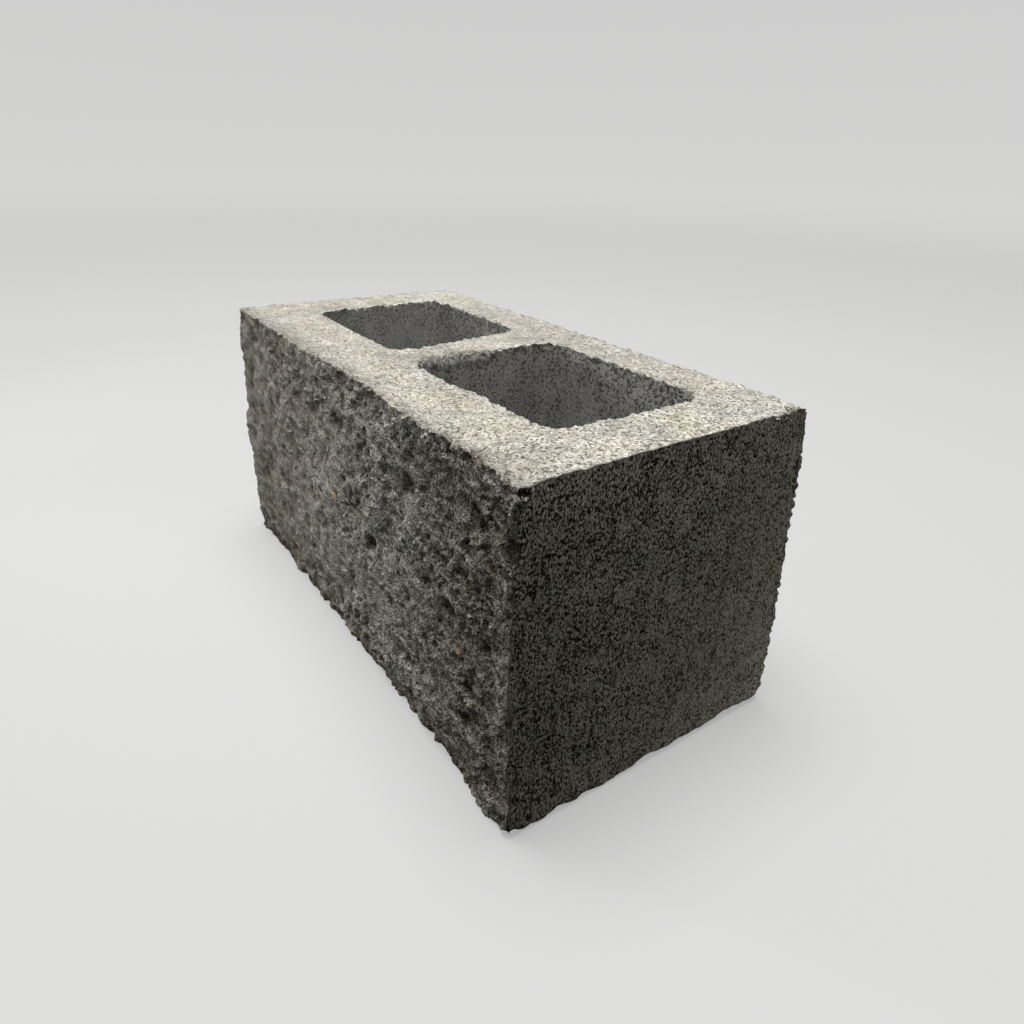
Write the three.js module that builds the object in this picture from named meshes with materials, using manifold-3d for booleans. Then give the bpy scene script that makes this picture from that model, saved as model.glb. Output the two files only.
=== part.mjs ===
// Split-face hollow concrete masonry unit, two cores, plain ends.
// One casting of dense grey concrete, stood on its lower bed.
//
// Millimetres. +X runs along the length, +Z is up, -Y is the split face.
// The origin is the centre of the lower bed's bounding rectangle.

import * as THREE from 'three';
import { mergeVertices } from 'three/addons/utils/BufferGeometryUtils.js';
import Module from 'manifold-3d';

// ---- driving dimensions ---------------------------------------------------
const LENGTH = 396.9;          // 15-5/8 in, nominal 16 in less one mortar joint
const WIDTH = 193.7;           // 7-5/8 in, back face to the proudest split stone
const HEIGHT = 193.7;          // 7-5/8 in

// The cores, given at the upper bed. Each wall leans out by CORE_DRAFT towards
// the lower bed, as the mould's core bars leave it.
const CORE_FRONT_Y = -45.4;    // inner line of the shell behind the split face
const CORE_BACK_Y = 60.3;      // inner line of the plain back shell
const CORE_END_X = 157.1;      // inner line of both end webs
const WEB_NEAR_X = 12.6;       // centre web, side facing +X
const WEB_FAR_FRONT_X = -12.4; // centre web, side facing -X, at the front shell
const WEB_FAR_BACK_X = -29.0;  // the same side where it flares into the back shell
const CORE_RADIUS = 16;
const CORE_DRAFT = 2.5;
const CORE_ARC_STEPS = 7;      // facets in each rounded core corner

// The split face: a grid of facets that follows the coarse break.
const SPLIT_COLUMNS = 54;
const SPLIT_ROWS = 26;
const BELLY = 2.0;             // the break bows out by this much at mid height

// Coarse lumps (+) and hollows (-) of the break, each a smooth bell:
// [x, z, radius along, radius across, turn in degrees, height]
const LUMPS = [
  [53, 122, 30, 6.5, 62, 2.3],     // long slanting ridge
  [47, 95, 8.5, 3.6, 35, -3.0],    // deep slot at the ridge's foot
  [78, 118, 20, 8, 62, -1.4],      // trough beside the ridge
  [159, 166, 9, 6, 10, -2.4],
  [90, 152, 16, 8, 15, -2.4],
  [124, 147, 12, 8, 40, 1.2],
  [4, 160, 17, 6, 12, -2.1],
  [-48, 152, 11, 4.5, 15, -1.8],
  [-35, 76, 11, 7, 30, -2.0],
  [-12, 108, 16, 9, 50, 1.3],
  [97, 41, 10, 7, 20, -2.2],
  [130, 84, 14, 9, 60, -1.5],
  [150, 112, 15, 12, 30, 1.3],
  [-148, 105, 14, 12, 0, -1.9],
  [-100, 128, 18, 12, 25, 1.2],
  [-92, 52, 20, 12, 30, 1.3],
  [-130, 13, 13, 6, 0, -2.0],
  [20, 38, 18, 10, 35, 1.2],
  [176, 60, 9, 22, 4, -1.3],
];

// How far the four arrises of the split face stand out from the break's own
// plane, at even steps from the lower left. The break runs into them smoothly.
const UPPER_ARRIS = [-0.4, 0.9, 1.2, -0.4, 1.0, 1.1, 0.7, 0.8, 1.0, 0.9, 0.6, 0.1, -1.6,
  -1.0, 0.0, -0.9, -0.5, 0.4, 2.0, 1.4, 0.0, 1.0, -0.4, 0.9, 0.4];
const LOWER_ARRIS = [-0.6, -0.6, -0.8, -0.1, -0.9, -0.6, 0.3, -0.7, -0.7, -0.9, -0.9, -0.8, -1.1,
  -1.0, -2.6, -2.4, -1.0, -1.0, -1.4, -2.3, -1.4, -2.0, -0.2, 1.1, -1.4];
const FAR_ARRIS = [1.2, 2.4, 3.2, 3.4, 3.7, 3.9, 3.3, 2.2, 1.6, 1.4, 1.5, 1.3, 0.6];
const NEAR_ARRIS = [-1.0, -0.6, -0.4, 1.6, 3.0, 2.6, 0.8, 1.6, 3.2, 2.8, 2.4, 2.2, 2.6,
  1.2, -1.0, 1.2, 0.8];

// ---- the break's shape ----------------------------------------------------
// A repeatable lattice noise: smooth between lattice points, -1 to 1.
function lattice(i, j, seed) {
  let h = Math.imul(i, 374761393) ^ Math.imul(j, 668265263) ^ Math.imul(seed, 1013904223);
  h = Math.imul(h ^ (h >>> 13), 1274126177);
  h ^= h >>> 16;
  return (h >>> 0) / 4294967295 * 2 - 1;
}

function noise(x, z, cell, seed) {
  const u = x / cell, v = z / cell;
  const i = Math.floor(u), j = Math.floor(v);
  const s = u - i, t = v - j;
  const a = s * s * (3 - 2 * s), b = t * t * (3 - 2 * t);
  const low = lattice(i, j, seed) * (1 - a) + lattice(i + 1, j, seed) * a;
  const high = lattice(i, j + 1, seed) * (1 - a) + lattice(i + 1, j + 1, seed) * a;
  return low * (1 - b) + high * b;
}

// A value read from an evenly spaced list, t from 0 to 1.
function along(list, t) {
  const u = THREE.MathUtils.clamp(t, 0, 1) * (list.length - 1);
  const k = Math.min(Math.floor(u), list.length - 2);
  return list[k] + (list[k + 1] - list[k]) * (u - k);
}

// How far the break stands out at (x, z) from its own plane.
function relief(x, z) {
  let r = 1.2 * noise(x, z, 27, 11);
  r += BELLY * (1 - ((z - HEIGHT / 2) / (HEIGHT / 2)) ** 2);
  for (const [cx, cz, longRadius, shortRadius, turn, height] of LUMPS) {
    const c = Math.cos(turn * Math.PI / 180), s = Math.sin(turn * Math.PI / 180);
    const dx = x - cx, dz = z - cz;
    const u = (dx * c + dz * s) / longRadius, v = (dz * c - dx * s) / shortRadius;
    r += height * Math.exp(-(u * u + v * v));
  }
  const blend = (target, distance, reach) => {
    const w = Math.exp(-((distance / reach) ** 2));
    r += (target - r) * w;
  };
  blend(along(LOWER_ARRIS, x / LENGTH + 0.5), z, 14);
  blend(along(UPPER_ARRIS, x / LENGTH + 0.5), HEIGHT - z, 14);
  blend(along(FAR_ARRIS, z / HEIGHT), x + LENGTH / 2, 20);
  blend(along(NEAR_ARRIS, z / HEIGHT), LENGTH / 2 - x, 14);
  return r + 0.7 * noise(x, z, 13, 23);
}

// ---- the outer body -------------------------------------------------------
// Flat beds, ends and back, and the split face as a grid that they all meet.
function outerBody() {
  const points = [], faces = [];
  const grid = [];
  const heights = [];
  let proudest = -Infinity;
  for (let i = 0; i <= SPLIT_COLUMNS; i++) {
    for (let j = 0; j <= SPLIT_ROWS; j++) {
      const r = relief(-LENGTH / 2 + LENGTH * i / SPLIT_COLUMNS, HEIGHT * j / SPLIT_ROWS);
      heights.push(r);
      proudest = Math.max(proudest, r);
    }
  }
  for (let i = 0; i <= SPLIT_COLUMNS; i++) {
    grid.push([]);
    for (let j = 0; j <= SPLIT_ROWS; j++) {
      const x = -LENGTH / 2 + LENGTH * i / SPLIT_COLUMNS;
      const z = HEIGHT * j / SPLIT_ROWS;
      grid[i].push(points.length);
      points.push([x, -WIDTH / 2 + proudest - heights[i * (SPLIT_ROWS + 1) + j], z]);
    }
  }
  const corner = (x, z) => { points.push([x, WIDTH / 2, z]); return points.length - 1; };
  const backLowLeft = corner(-LENGTH / 2, 0), backLowRight = corner(LENGTH / 2, 0);
  const backTopLeft = corner(-LENGTH / 2, HEIGHT), backTopRight = corner(LENGTH / 2, HEIGHT);

  // split face, facing -Y
  for (let i = 0; i < SPLIT_COLUMNS; i++) {
    for (let j = 0; j < SPLIT_ROWS; j++) {
      const a = grid[i][j], b = grid[i + 1][j], c = grid[i + 1][j + 1], d = grid[i][j + 1];
      if ((i + j) % 2) faces.push([a, b, c], [a, c, d]);
      else faces.push([a, b, d], [b, c, d]);
    }
  }
  // back face, facing +Y
  faces.push([backLowRight, backLowLeft, backTopLeft], [backLowRight, backTopLeft, backTopRight]);

  // A flat face through a ring of points, seen in the plane (u, v) and facing
  // along u x v, or against it.
  const flat = (ring, u, v, facing) => {
    const contour = ring.map((p) => new THREE.Vector2(points[p][u], points[p][v]));
    for (const [a, b, c] of THREE.ShapeUtils.triangulateShape(contour, [])) {
      const area = THREE.ShapeUtils.area([contour[a], contour[b], contour[c]]);
      faces.push(area * facing > 0 ? [ring[a], ring[b], ring[c]] : [ring[a], ring[c], ring[b]]);
    }
  };
  const lowEdge = grid.map((column) => column[0]);
  const topEdge = grid.map((column) => column[SPLIT_ROWS]);
  flat([...lowEdge, backLowRight, backLowLeft], 0, 1, -1);
  flat([...topEdge, backTopRight, backTopLeft], 0, 1, 1);
  flat([...grid[SPLIT_COLUMNS], backTopRight, backLowRight], 1, 2, 1);
  flat([...grid[0], backTopLeft, backLowLeft], 1, 2, -1);
  return { points, faces };
}

// ---- a core ---------------------------------------------------------------
// Moves every side of a counter-clockwise outline outwards by a distance.
function grow(outline, distance) {
  const n = outline.length;
  return outline.map((p, k) => {
    const before = outline[(k + n - 1) % n], after = outline[(k + 1) % n];
    const e1 = p.clone().sub(before).normalize(), e2 = after.clone().sub(p).normalize();
    const n1 = new THREE.Vector2(e1.y, -e1.x), n2 = new THREE.Vector2(e2.y, -e2.x);
    const bisector = n1.clone().add(n2).normalize();
    return p.clone().addScaledVector(bisector, distance / bisector.dot(n1));
  });
}

// The outline with each corner rounded by arcs of the same radius.
function rounded(outline, radius) {
  const n = outline.length, ring = [];
  outline.forEach((p, k) => {
    const into = p.clone().sub(outline[(k + n - 1) % n]).normalize();
    const away = outline[(k + 1) % n].clone().sub(p).normalize();
    const turn = Math.acos(THREE.MathUtils.clamp(into.dot(away), -1, 1));
    const reach = radius * Math.tan(turn / 2);
    const start = p.clone().addScaledVector(into, -reach);
    const centre = start.clone().add(new THREE.Vector2(-into.y, into.x).multiplyScalar(radius));
    for (let s = 0; s <= CORE_ARC_STEPS; s++) {
      ring.push(start.clone().rotateAround(centre, turn * s / CORE_ARC_STEPS));
    }
  });
  return ring;
}

function coreBody(corners) {
  const outline = corners.map(([x, y]) => new THREE.Vector2(x, y));
  const over = 6; // the cutter runs past both beds
  const points = [], faces = [], rings = [];
  for (const z of [-over, HEIGHT + over]) {
    const lean = CORE_DRAFT * (HEIGHT - z) / HEIGHT;
    rings.push(rounded(grow(outline, lean), CORE_RADIUS + lean).map((p) => {
      points.push([p.x, p.y, z]);
      return points.length - 1;
    }));
  }
  const [low, top] = rings, n = low.length;
  for (let k = 0; k < n; k++) {
    const m = (k + 1) % n;
    faces.push([low[k], low[m], top[m]], [low[k], top[m], top[k]]);
  }
  for (let k = 1; k < n - 1; k++) {
    faces.push([low[0], low[k + 1], low[k]], [top[0], top[k], top[k + 1]]);
  }
  return { points, faces };
}

// ---- solids ---------------------------------------------------------------
const wasm = await Module();
wasm.setup();

function solid({ points, faces }) {
  let geometry = new THREE.BufferGeometry();
  geometry.setAttribute('position', new THREE.Float32BufferAttribute(points.flat(), 3));
  geometry.setIndex(faces.flat());
  geometry = mergeVertices(geometry, 1e-4);
  return new wasm.Manifold(new wasm.Mesh({
    numProp: 3,
    vertProperties: new Float32Array(geometry.attributes.position.array),
    triVerts: new Uint32Array(geometry.index.array),
  }));
}

const nearCore = solid(coreBody([
  [WEB_NEAR_X, CORE_FRONT_Y], [CORE_END_X, CORE_FRONT_Y],
  [CORE_END_X, CORE_BACK_Y], [WEB_NEAR_X, CORE_BACK_Y],
]));
const farCore = solid(coreBody([
  [-CORE_END_X, CORE_FRONT_Y], [WEB_FAR_FRONT_X, CORE_FRONT_Y],
  [WEB_FAR_BACK_X, CORE_BACK_Y], [-CORE_END_X, CORE_BACK_Y],
]));
const casting = solid(outerBody()).subtract(nearCore).subtract(farCore);

const cast = casting.getMesh();
const geometry = new THREE.BufferGeometry();
geometry.setAttribute('position', new THREE.Float32BufferAttribute(cast.vertProperties, 3));
geometry.setIndex(new THREE.BufferAttribute(new Uint32Array(cast.triVerts), 1));
geometry.computeVertexNormals();

const concrete = new THREE.MeshStandardMaterial({ color: 0xaca89b, roughness: 0.95, metalness: 0 });
const block = new THREE.Mesh(geometry, concrete);
block.name = 'block';

const unit = new THREE.Group();
unit.name = 'split_face_masonry_unit';
unit.add(block);

export default unit;
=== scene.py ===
"""Split-face two-core concrete block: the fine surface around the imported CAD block.

One closed mesh stands for the casting. Each flat face, core wall and the split
face is triangulated at its own density, then moved by the coarse break, the
worn arrises, the chips and the grain. Lengths are millimetres until the mesh
is written, in metres.
"""

import math

import bpy
import numpy as np
from mathutils import Matrix, Vector
from mathutils.geometry import delaunay_2d_cdt


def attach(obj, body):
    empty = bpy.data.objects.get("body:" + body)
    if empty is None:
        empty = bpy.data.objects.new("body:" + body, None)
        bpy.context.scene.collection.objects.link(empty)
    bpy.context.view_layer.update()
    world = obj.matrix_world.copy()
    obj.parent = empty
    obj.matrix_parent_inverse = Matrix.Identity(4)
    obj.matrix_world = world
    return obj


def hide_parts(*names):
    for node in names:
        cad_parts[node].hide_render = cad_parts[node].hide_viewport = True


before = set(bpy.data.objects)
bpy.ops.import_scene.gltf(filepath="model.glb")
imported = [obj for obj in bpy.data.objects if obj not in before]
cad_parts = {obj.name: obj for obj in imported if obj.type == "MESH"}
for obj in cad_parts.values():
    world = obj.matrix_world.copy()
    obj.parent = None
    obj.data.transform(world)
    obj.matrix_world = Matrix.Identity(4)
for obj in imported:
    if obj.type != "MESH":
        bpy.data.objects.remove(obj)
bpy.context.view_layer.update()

# ---------------------------------------------------------------- dimensions
LENGTH, WIDTH, HEIGHT = 396.9, 193.7, 193.7
HX, YK = LENGTH / 2, WIDTH / 2          # end planes at +-HX, back plane at +YK

CORE_FRONT_Y, CORE_BACK_Y, CORE_END_X = -45.4, 60.3, 157.1
WEB_NEAR_X, WEB_FAR_FRONT_X, WEB_FAR_BACK_X = 12.6, -12.4, -29.0
CORE_RADIUS, CORE_DRAFT = 16.0, 2.5

BELLY = 2.0
LUMPS = [
    (53, 122, 30, 6.5, 62, 2.3), (47, 95, 8.5, 3.6, 35, -3.0), (78, 118, 20, 8, 62, -1.4),
    (159, 166, 9, 6, 10, -2.4), (90, 152, 16, 8, 15, -2.4), (124, 147, 12, 8, 40, 1.2),
    (4, 160, 17, 6, 12, -2.1), (-48, 152, 11, 4.5, 15, -1.8), (-35, 76, 11, 7, 30, -2.0),
    (-12, 108, 16, 9, 50, 1.3), (97, 41, 10, 7, 20, -2.2), (130, 84, 14, 9, 60, -1.5),
    (150, 112, 15, 12, 30, 1.3), (-148, 105, 14, 12, 0, -1.9), (-100, 128, 18, 12, 25, 1.2),
    (-92, 52, 20, 12, 30, 1.3), (-130, 13, 13, 6, 0, -2.0), (20, 38, 18, 10, 35, 1.2),
    (176, 60, 9, 22, 4, -1.3),
]
UPPER_ARRIS = [-0.4, 0.9, 1.2, -0.4, 1.0, 1.1, 0.7, 0.8, 1.0, 0.9, 0.6, 0.1, -1.6,
               -1.0, 0.0, -0.9, -0.5, 0.4, 2.0, 1.4, 0.0, 1.0, -0.4, 0.9, 0.4]
LOWER_ARRIS = [-0.6, -0.6, -0.8, -0.1, -0.9, -0.6, 0.3, -0.7, -0.7, -0.9, -0.9, -0.8, -1.1,
               -1.0, -2.6, -2.4, -1.0, -1.0, -1.4, -2.3, -1.4, -2.0, -0.2, 1.1, -1.4]
FAR_ARRIS = [1.2, 2.4, 3.2, 3.4, 3.7, 3.9, 3.3, 2.2, 1.6, 1.4, 1.5, 1.3, 0.6]
NEAR_ARRIS = [-1.0, -0.6, -0.4, 1.6, 3.0, 2.6, 0.8, 1.6, 3.2, 2.8, 2.4, 2.2, 2.6,
              1.2, -1.0, 1.2, 0.8]


# ---------------------------------------------------------------- the coarse break, as in the CAD
def hashed(i, j, seed):
    """Repeatable lattice numbers from 0 to 1, as 32-bit integer arithmetic."""
    with np.errstate(over="ignore"):
        h = (i.astype(np.int64) * 374761393 & 0xFFFFFFFF) ^ (j.astype(np.int64) * 668265263 & 0xFFFFFFFF) \
            ^ (seed * 1013904223 & 0xFFFFFFFF)
        h = h.astype(np.uint32)
        h = (h ^ (h >> np.uint32(13))) * np.uint32(1274126177)
        h ^= h >> np.uint32(16)
    return h.astype(np.float64) / 4294967295.0


def value_noise(x, z, cell, seed):
    u, v = x / cell, z / cell
    i, j = np.floor(u), np.floor(v)
    s, t = u - i, v - j
    a, b = s * s * (3 - 2 * s), t * t * (3 - 2 * t)
    g = lambda di, dj: hashed(i + di, j + dj, seed) * 2 - 1
    return (g(0, 0) * (1 - a) + g(1, 0) * a) * (1 - b) + (g(0, 1) * (1 - a) + g(1, 1) * a) * b


def along(values, t):
    return np.interp(np.clip(t, 0, 1), np.linspace(0, 1, len(values)), values)


def relief(x, z):
    """How far the coarse break stands out from its own plane."""
    r = 1.2 * value_noise(x, z, 27, 11) + BELLY * (1 - ((z - HEIGHT / 2) / (HEIGHT / 2)) ** 2)
    for cx, cz, long_radius, short_radius, turn, height in LUMPS:
        c, s = math.cos(math.radians(turn)), math.sin(math.radians(turn))
        u = ((x - cx) * c + (z - cz) * s) / long_radius
        v = ((z - cz) * c - (x - cx) * s) / short_radius
        r = r + height * np.exp(-(u * u + v * v))
    for values, t, distance, reach in (
        (LOWER_ARRIS, x / LENGTH + 0.5, z, 14), (UPPER_ARRIS, x / LENGTH + 0.5, HEIGHT - z, 14),
        (FAR_ARRIS, z / HEIGHT, x + HX, 20), (NEAR_ARRIS, z / HEIGHT, HX - x, 14),
    ):
        r = r + (along(values, t) - r) * np.exp(-(distance / reach) ** 2)
    return r + 0.7 * value_noise(x, z, 13, 23)


gx, gz = np.meshgrid(-HX + LENGTH * np.arange(55) / 54, HEIGHT * np.arange(27) / 26)
YF = -YK + float(relief(gx, gz).max())    # the break's own plane


# ---------------------------------------------------------------- smooth noise and grains, in the plane
def gradient_noise(a, b, cell, seed):
    """Perlin's noise in the plane, about -1 to 1."""
    u, v = a / cell, b / cell
    i, j = np.floor(u), np.floor(v)
    s, t = u - i, v - j
    fa, fb = s ** 3 * (s * (s * 6 - 15) + 10), t ** 3 * (t * (t * 6 - 15) + 10)

    def corner(di, dj):
        turn = hashed(i + di, j + dj, seed) * 2 * np.pi
        return np.cos(turn) * (s - di) + np.sin(turn) * (t - dj)
    low = corner(0, 0) * (1 - fa) + corner(1, 0) * fa
    high = corner(0, 1) * (1 - fa) + corner(1, 1) * fa
    return (low * (1 - fb) + high * fb) * 1.5


def fractal(a, b, cell, seed, octaves=3, gain=0.5):
    total, scale, weight = 0.0, 1.0, 0.0
    for k in range(octaves):
        total = total + scale * gradient_noise(a, b, cell / 2 ** k, seed + 31 * k)
        weight += scale
        scale *= gain
    return total / weight


def grains(a, b, cell, seed, share=1.0, flat=0.6):
    """Rounded stones set in a plane: the height of the tallest one over each point, 0 to 1."""
    u, v = a / cell, b / cell
    i, j = np.floor(u), np.floor(v)
    top = np.zeros_like(a)
    for di in (-1, 0, 1):
        for dj in (-1, 0, 1):
            p, q = i + di, j + dj
            dx = u - p - hashed(p, q, seed)
            dz = v - q - hashed(p, q, seed + 1)
            size = 0.45 + 0.5 * hashed(p, q, seed + 2)
            there = hashed(p, q, seed + 3) < share
            turn = hashed(p, q, seed + 4) * np.pi
            stretch = 1 + 0.7 * hashed(p, q, seed + 5)
            c, s = np.cos(turn), np.sin(turn)
            along_it, across_it = (dx * c + dz * s) / stretch ** 0.5, (dz * c - dx * s) * stretch ** 0.5
            d2 = (along_it ** 2 + across_it ** 2) / size ** 2
            dome = size * np.clip(1 - d2, 0, None) ** flat
            top = np.maximum(top, np.where(there, dome, 0))
    return top


# ---------------------------------------------------------------- vertices and triangles
rng = np.random.default_rng(20260)
base, kinds, extra = [], [], []           # base place, home face, core data (arc length, normal)
count = 0
FRONT, BACK, NEAR_END, FAR_END, TOP, BOTTOM, CORE_A, CORE_B = range(8)


def add(points, kind, data=None):
    """Adds base points (n, 3) and returns their numbers."""
    global count
    points = np.asarray(points, float).reshape(-1, 3)
    base.append(points)
    kinds.append(np.full(len(points), kind))
    extra.append(np.zeros((len(points), 3)) if data is None else data)
    ids = np.arange(count, count + len(points))
    count += len(points)
    return ids


def steps(length, spacing):
    """Positions from 0 to length whose steps follow spacing(position)."""
    fine = np.linspace(0, length, 2000)
    density = 1 / spacing(fine)
    total = np.concatenate([[0], np.cumsum((density[1:] + density[:-1]) / 2 * np.diff(fine))])
    n = max(int(round(total[-1])), 1)
    return np.interp(np.linspace(0, total[-1], n + 1), total, fine)


def edge(p, q, spacing, kind):
    """Numbers of a line of new vertices strictly between two corners."""
    p, q = np.asarray(p, float), np.asarray(q, float)
    t = steps(np.linalg.norm(q - p), spacing)[1:-1] / np.linalg.norm(q - p)
    return add(p + (q - p) * t[:, None], kind)


faces = []


def inside(points, loops):
    """Whether each point is inside an even-odd set of closed loops."""
    result = np.zeros(len(points), bool)
    x, y = points[:, 0], points[:, 1]
    for loop in loops:
        a, b = loop, np.roll(loop, -1, axis=0)
        for k in range(0, len(a), 64):
            ax, ay = a[k:k + 64, 0], a[k:k + 64, 1]
            bx, by = b[k:k + 64, 0], b[k:k + 64, 1]
            over = (ay[None] > y[:, None]) != (by[None] > y[:, None])
            span = np.where(by == ay, 1e-9, by - ay)
            cross = ax[None] + (y[:, None] - ay[None]) * ((bx - ax) / span)[None]
            result ^= (np.count_nonzero(over & (x[:, None] < cross), axis=1) % 2).astype(bool)
    return result


def fill(loops, loop_ids, points, point_ids, outward):
    """Triangulates the area inside loops with extra points. outward says whether (u, v) turns outwards."""
    flat = np.concatenate([*loops, points])
    ids = np.concatenate([*loop_ids, point_ids])
    edges, start = [], 0
    for loop in loops:
        n = len(loop)
        edges += [(start + k, start + (k + 1) % n) for k in range(n)]
        start += n
    out = delaunay_2d_cdt([Vector(p) for p in flat.tolist()], edges, [], 0, 1e-7, True)
    place = np.array([tuple(v) for v in out[0]])
    source = np.array([o[0] if len(o) else -1 for o in out[3]])
    if (source < 0).any() or len(place) != len(flat):
        raise RuntimeError("the triangulation made or merged points")
    tri = np.array(out[2])
    tri = tri[inside(place[tri].mean(1), loops)]
    a, b, c = place[tri[:, 0]], place[tri[:, 1]], place[tri[:, 2]]
    area = (b[:, 0] - a[:, 0]) * (c[:, 1] - a[:, 1]) - (b[:, 1] - a[:, 1]) * (c[:, 0] - a[:, 0])
    flip = (area < 0) != (not outward)
    tri[flip] = tri[flip][:, ::-1]
    faces.append(ids[source[tri]])


def lattice_points(u_lines, v_step, v_range, jitter=0.22):
    """Rows of points on uneven columns: every second column is shifted by half a step."""
    out = []
    for k, (u, step) in enumerate(u_lines):
        n = max(int(round((v_range[1] - v_range[0]) / v_step(u))), 2)
        v = v_range[0] + (np.arange(n) + (0.5 if k % 2 else 1.0)) * (v_range[1] - v_range[0]) / n
        v = v[v < v_range[1] - 0.3 * v_step(u)]
        p = np.stack([np.full(len(v), u), v], 1)
        p += (rng.random(p.shape) - 0.5) * 2 * jitter * [step, v_step(u)]
        out.append(p)
    return np.concatenate(out)


def columns(length, spacing):
    s = steps(length, spacing)
    return [(s[k], (s[k + 1] - s[k - 1]) / 2) for k in range(1, len(s) - 1)]


ramp = lambda t, a, b: a + (b - a) * np.clip(t, 0, 1)
EDGE_FINE = 0.62      # rows close to an arris are this much finer
RUN_AT, RUN_LOW = 32.0, 0.62


def run_of(x):
    """The length that the grain is laid out on: it is drawn out towards the far end."""
    u = np.clip((np.asarray(x, float) + HX) / (RUN_AT + HX), 0, 1)
    whole = RUN_LOW + (1 - RUN_LOW) / 2
    return np.where(np.asarray(x) > RUN_AT, x, RUN_AT - (RUN_AT + HX) * (whole - RUN_LOW * u - (1 - RUN_LOW) / 2 * u * u))


def graded(s, length, inner, low=None, high=None, reach=9.0):
    """A spacing that tightens towards one or both ends of a run."""
    out = inner(s) if callable(inner) else np.full_like(s, inner)
    if low is not None:
        out = np.minimum(out, low + (s / reach) * 1.6)
    if high is not None:
        out = np.minimum(out, high + ((length - s) / reach) * 1.6)
    return out


# the eight corners
corner = {}
for sx in (-1, 1):
    for y, yn in ((YF, 0), (YK, 1)):
        for z, zn in ((0, 0), (HEIGHT, 1)):
            corner[sx, yn, zn] = add([[sx * HX, y, z]], FRONT if yn == 0 else BACK)


def place_of(ids):
    return np.concatenate(base)[ids]


WY = YK - YF
# spacings along the arrises; s runs from the first corner
near_x = lambda fine, far: (lambda s: ramp(s / LENGTH, far, fine))
arris = {
    # along +X at (y, z)
    "x00": edge([-HX, YF, 0], [HX, YF, 0], near_x(1.0, 1.9), FRONT),
    "x01": edge([-HX, YF, HEIGHT], [HX, YF, HEIGHT], near_x(0.95, 1.8), FRONT),
    "x10": edge([-HX, YK, 0], [HX, YK, 0], near_x(2.6, 3.6), BACK),
    "x11": edge([-HX, YK, HEIGHT], [HX, YK, HEIGHT], near_x(1.5, 2.2), BACK),
    # along +Y at (x, z)
    "y00": edge([-HX, YF, 0], [-HX, YK, 0], lambda s: ramp(s / WY, 2.2, 3.4), FAR_END),
    "y01": edge([-HX, YF, HEIGHT], [-HX, YK, HEIGHT], lambda s: s * 0 + 2.0, FAR_END),
    "y10": edge([HX, YF, 0], [HX, YK, 0], lambda s: s * 0 + 1.1, NEAR_END),
    "y11": edge([HX, YF, HEIGHT], [HX, YK, HEIGHT], lambda s: np.where(s < 9, 0.65, 1.1), NEAR_END),
    # along +Z at (x, y)
    "z00": edge([-HX, YF, 0], [-HX, YF, HEIGHT], lambda s: s * 0 + 1.7, FRONT),
    "z01": edge([-HX, YK, 0], [-HX, YK, HEIGHT], lambda s: s * 0 + 3.2, FAR_END),
    "z10": edge([HX, YF, 0], [HX, YF, HEIGHT], lambda s: np.where(s > 178, 0.6, 0.9), FRONT),
    "z11": edge([HX, YK, 0], [HX, YK, HEIGHT], lambda s: s * 0 + 1.3, NEAR_END),
}


def rectangle(parts, u, v):
    """A loop of numbers from arris runs and corners, and its places in the plane (u, v)."""
    ids = np.concatenate(parts)
    return place_of(ids)[:, [u, v]], ids


# front, in (x, z), turning away from the viewer's +Y: outward is -Y
front_loop, front_ids = rectangle([
    corner[-1, 0, 0], arris["x00"], corner[1, 0, 0], arris["z10"], corner[1, 0, 1],
    arris["x01"][::-1], corner[-1, 0, 1], arris["z00"][::-1]], 0, 2)
blocks = [(-HX, -92, 2.45, 1.6), (-92, 10, 1.95, 1.32), (10, 112, 1.45, 1.12), (112, HX, 1.12, 0.96)]
pts = []
for x0, x1, step_x, step_z in blocks:
    n = int(round((x1 - x0) / step_x))
    xs = [(x0 + (k + 0.5) * (x1 - x0) / n, step_x) for k in range(n)]
    pts.append(lattice_points(xs, lambda u, s=step_z: s, (0, HEIGHT)))
pts = np.concatenate(pts)
pts = pts[(pts[:, 0] > -HX + 0.9) & (pts[:, 0] < HX - 0.5) & (pts[:, 1] > 0.5) & (pts[:, 1] < HEIGHT - 0.5)]
ids = add(np.stack([pts[:, 0], np.full(len(pts), YF), pts[:, 1]], 1), FRONT)
fill([front_loop], [front_ids], pts, ids, True)

# back, in (x, z), outward +Y
loop, loop_ids = rectangle([
    corner[-1, 1, 0], arris["x10"], corner[1, 1, 0], arris["z11"], corner[1, 1, 1],
    arris["x11"][::-1], corner[-1, 1, 1], arris["z01"][::-1]], 0, 2)
cols = columns(LENGTH, lambda s: graded(s, LENGTH, 4.3, 1.2, 1.0))
rows = columns(HEIGHT, lambda s: graded(s, HEIGHT, 4.3, 1.2, 1.0))
pts = np.array([[u - HX + du * (rng.random() - 0.5) * 0.4, v + (0.5 * dv if k % 2 and 8 < v < HEIGHT - 8 else 0) + dv * (rng.random() - 0.5) * 0.4]
                for k, (u, du) in enumerate(cols) for v, dv in rows])
pts = pts[(pts[:, 1] > 0.5) & (pts[:, 1] < HEIGHT - 0.5)]
ids = add(np.stack([pts[:, 0], np.full(len(pts), YK), pts[:, 1]], 1), BACK)
fill([loop], [loop_ids], pts, ids, False)

# near end, in (y, z), outward +X
loop, loop_ids = rectangle([
    corner[1, 0, 0], arris["y10"], corner[1, 1, 0], arris["z11"], corner[1, 1, 1],
    arris["y11"][::-1], corner[1, 0, 1], arris["z10"][::-1]], 1, 2)
cols = columns(WY, lambda s: graded(s, WY, 1.36, 0.75, 0.8))
pts = lattice_points([(u + YF, du) for u, du in cols], lambda u: 1.27, (0, HEIGHT))
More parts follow.
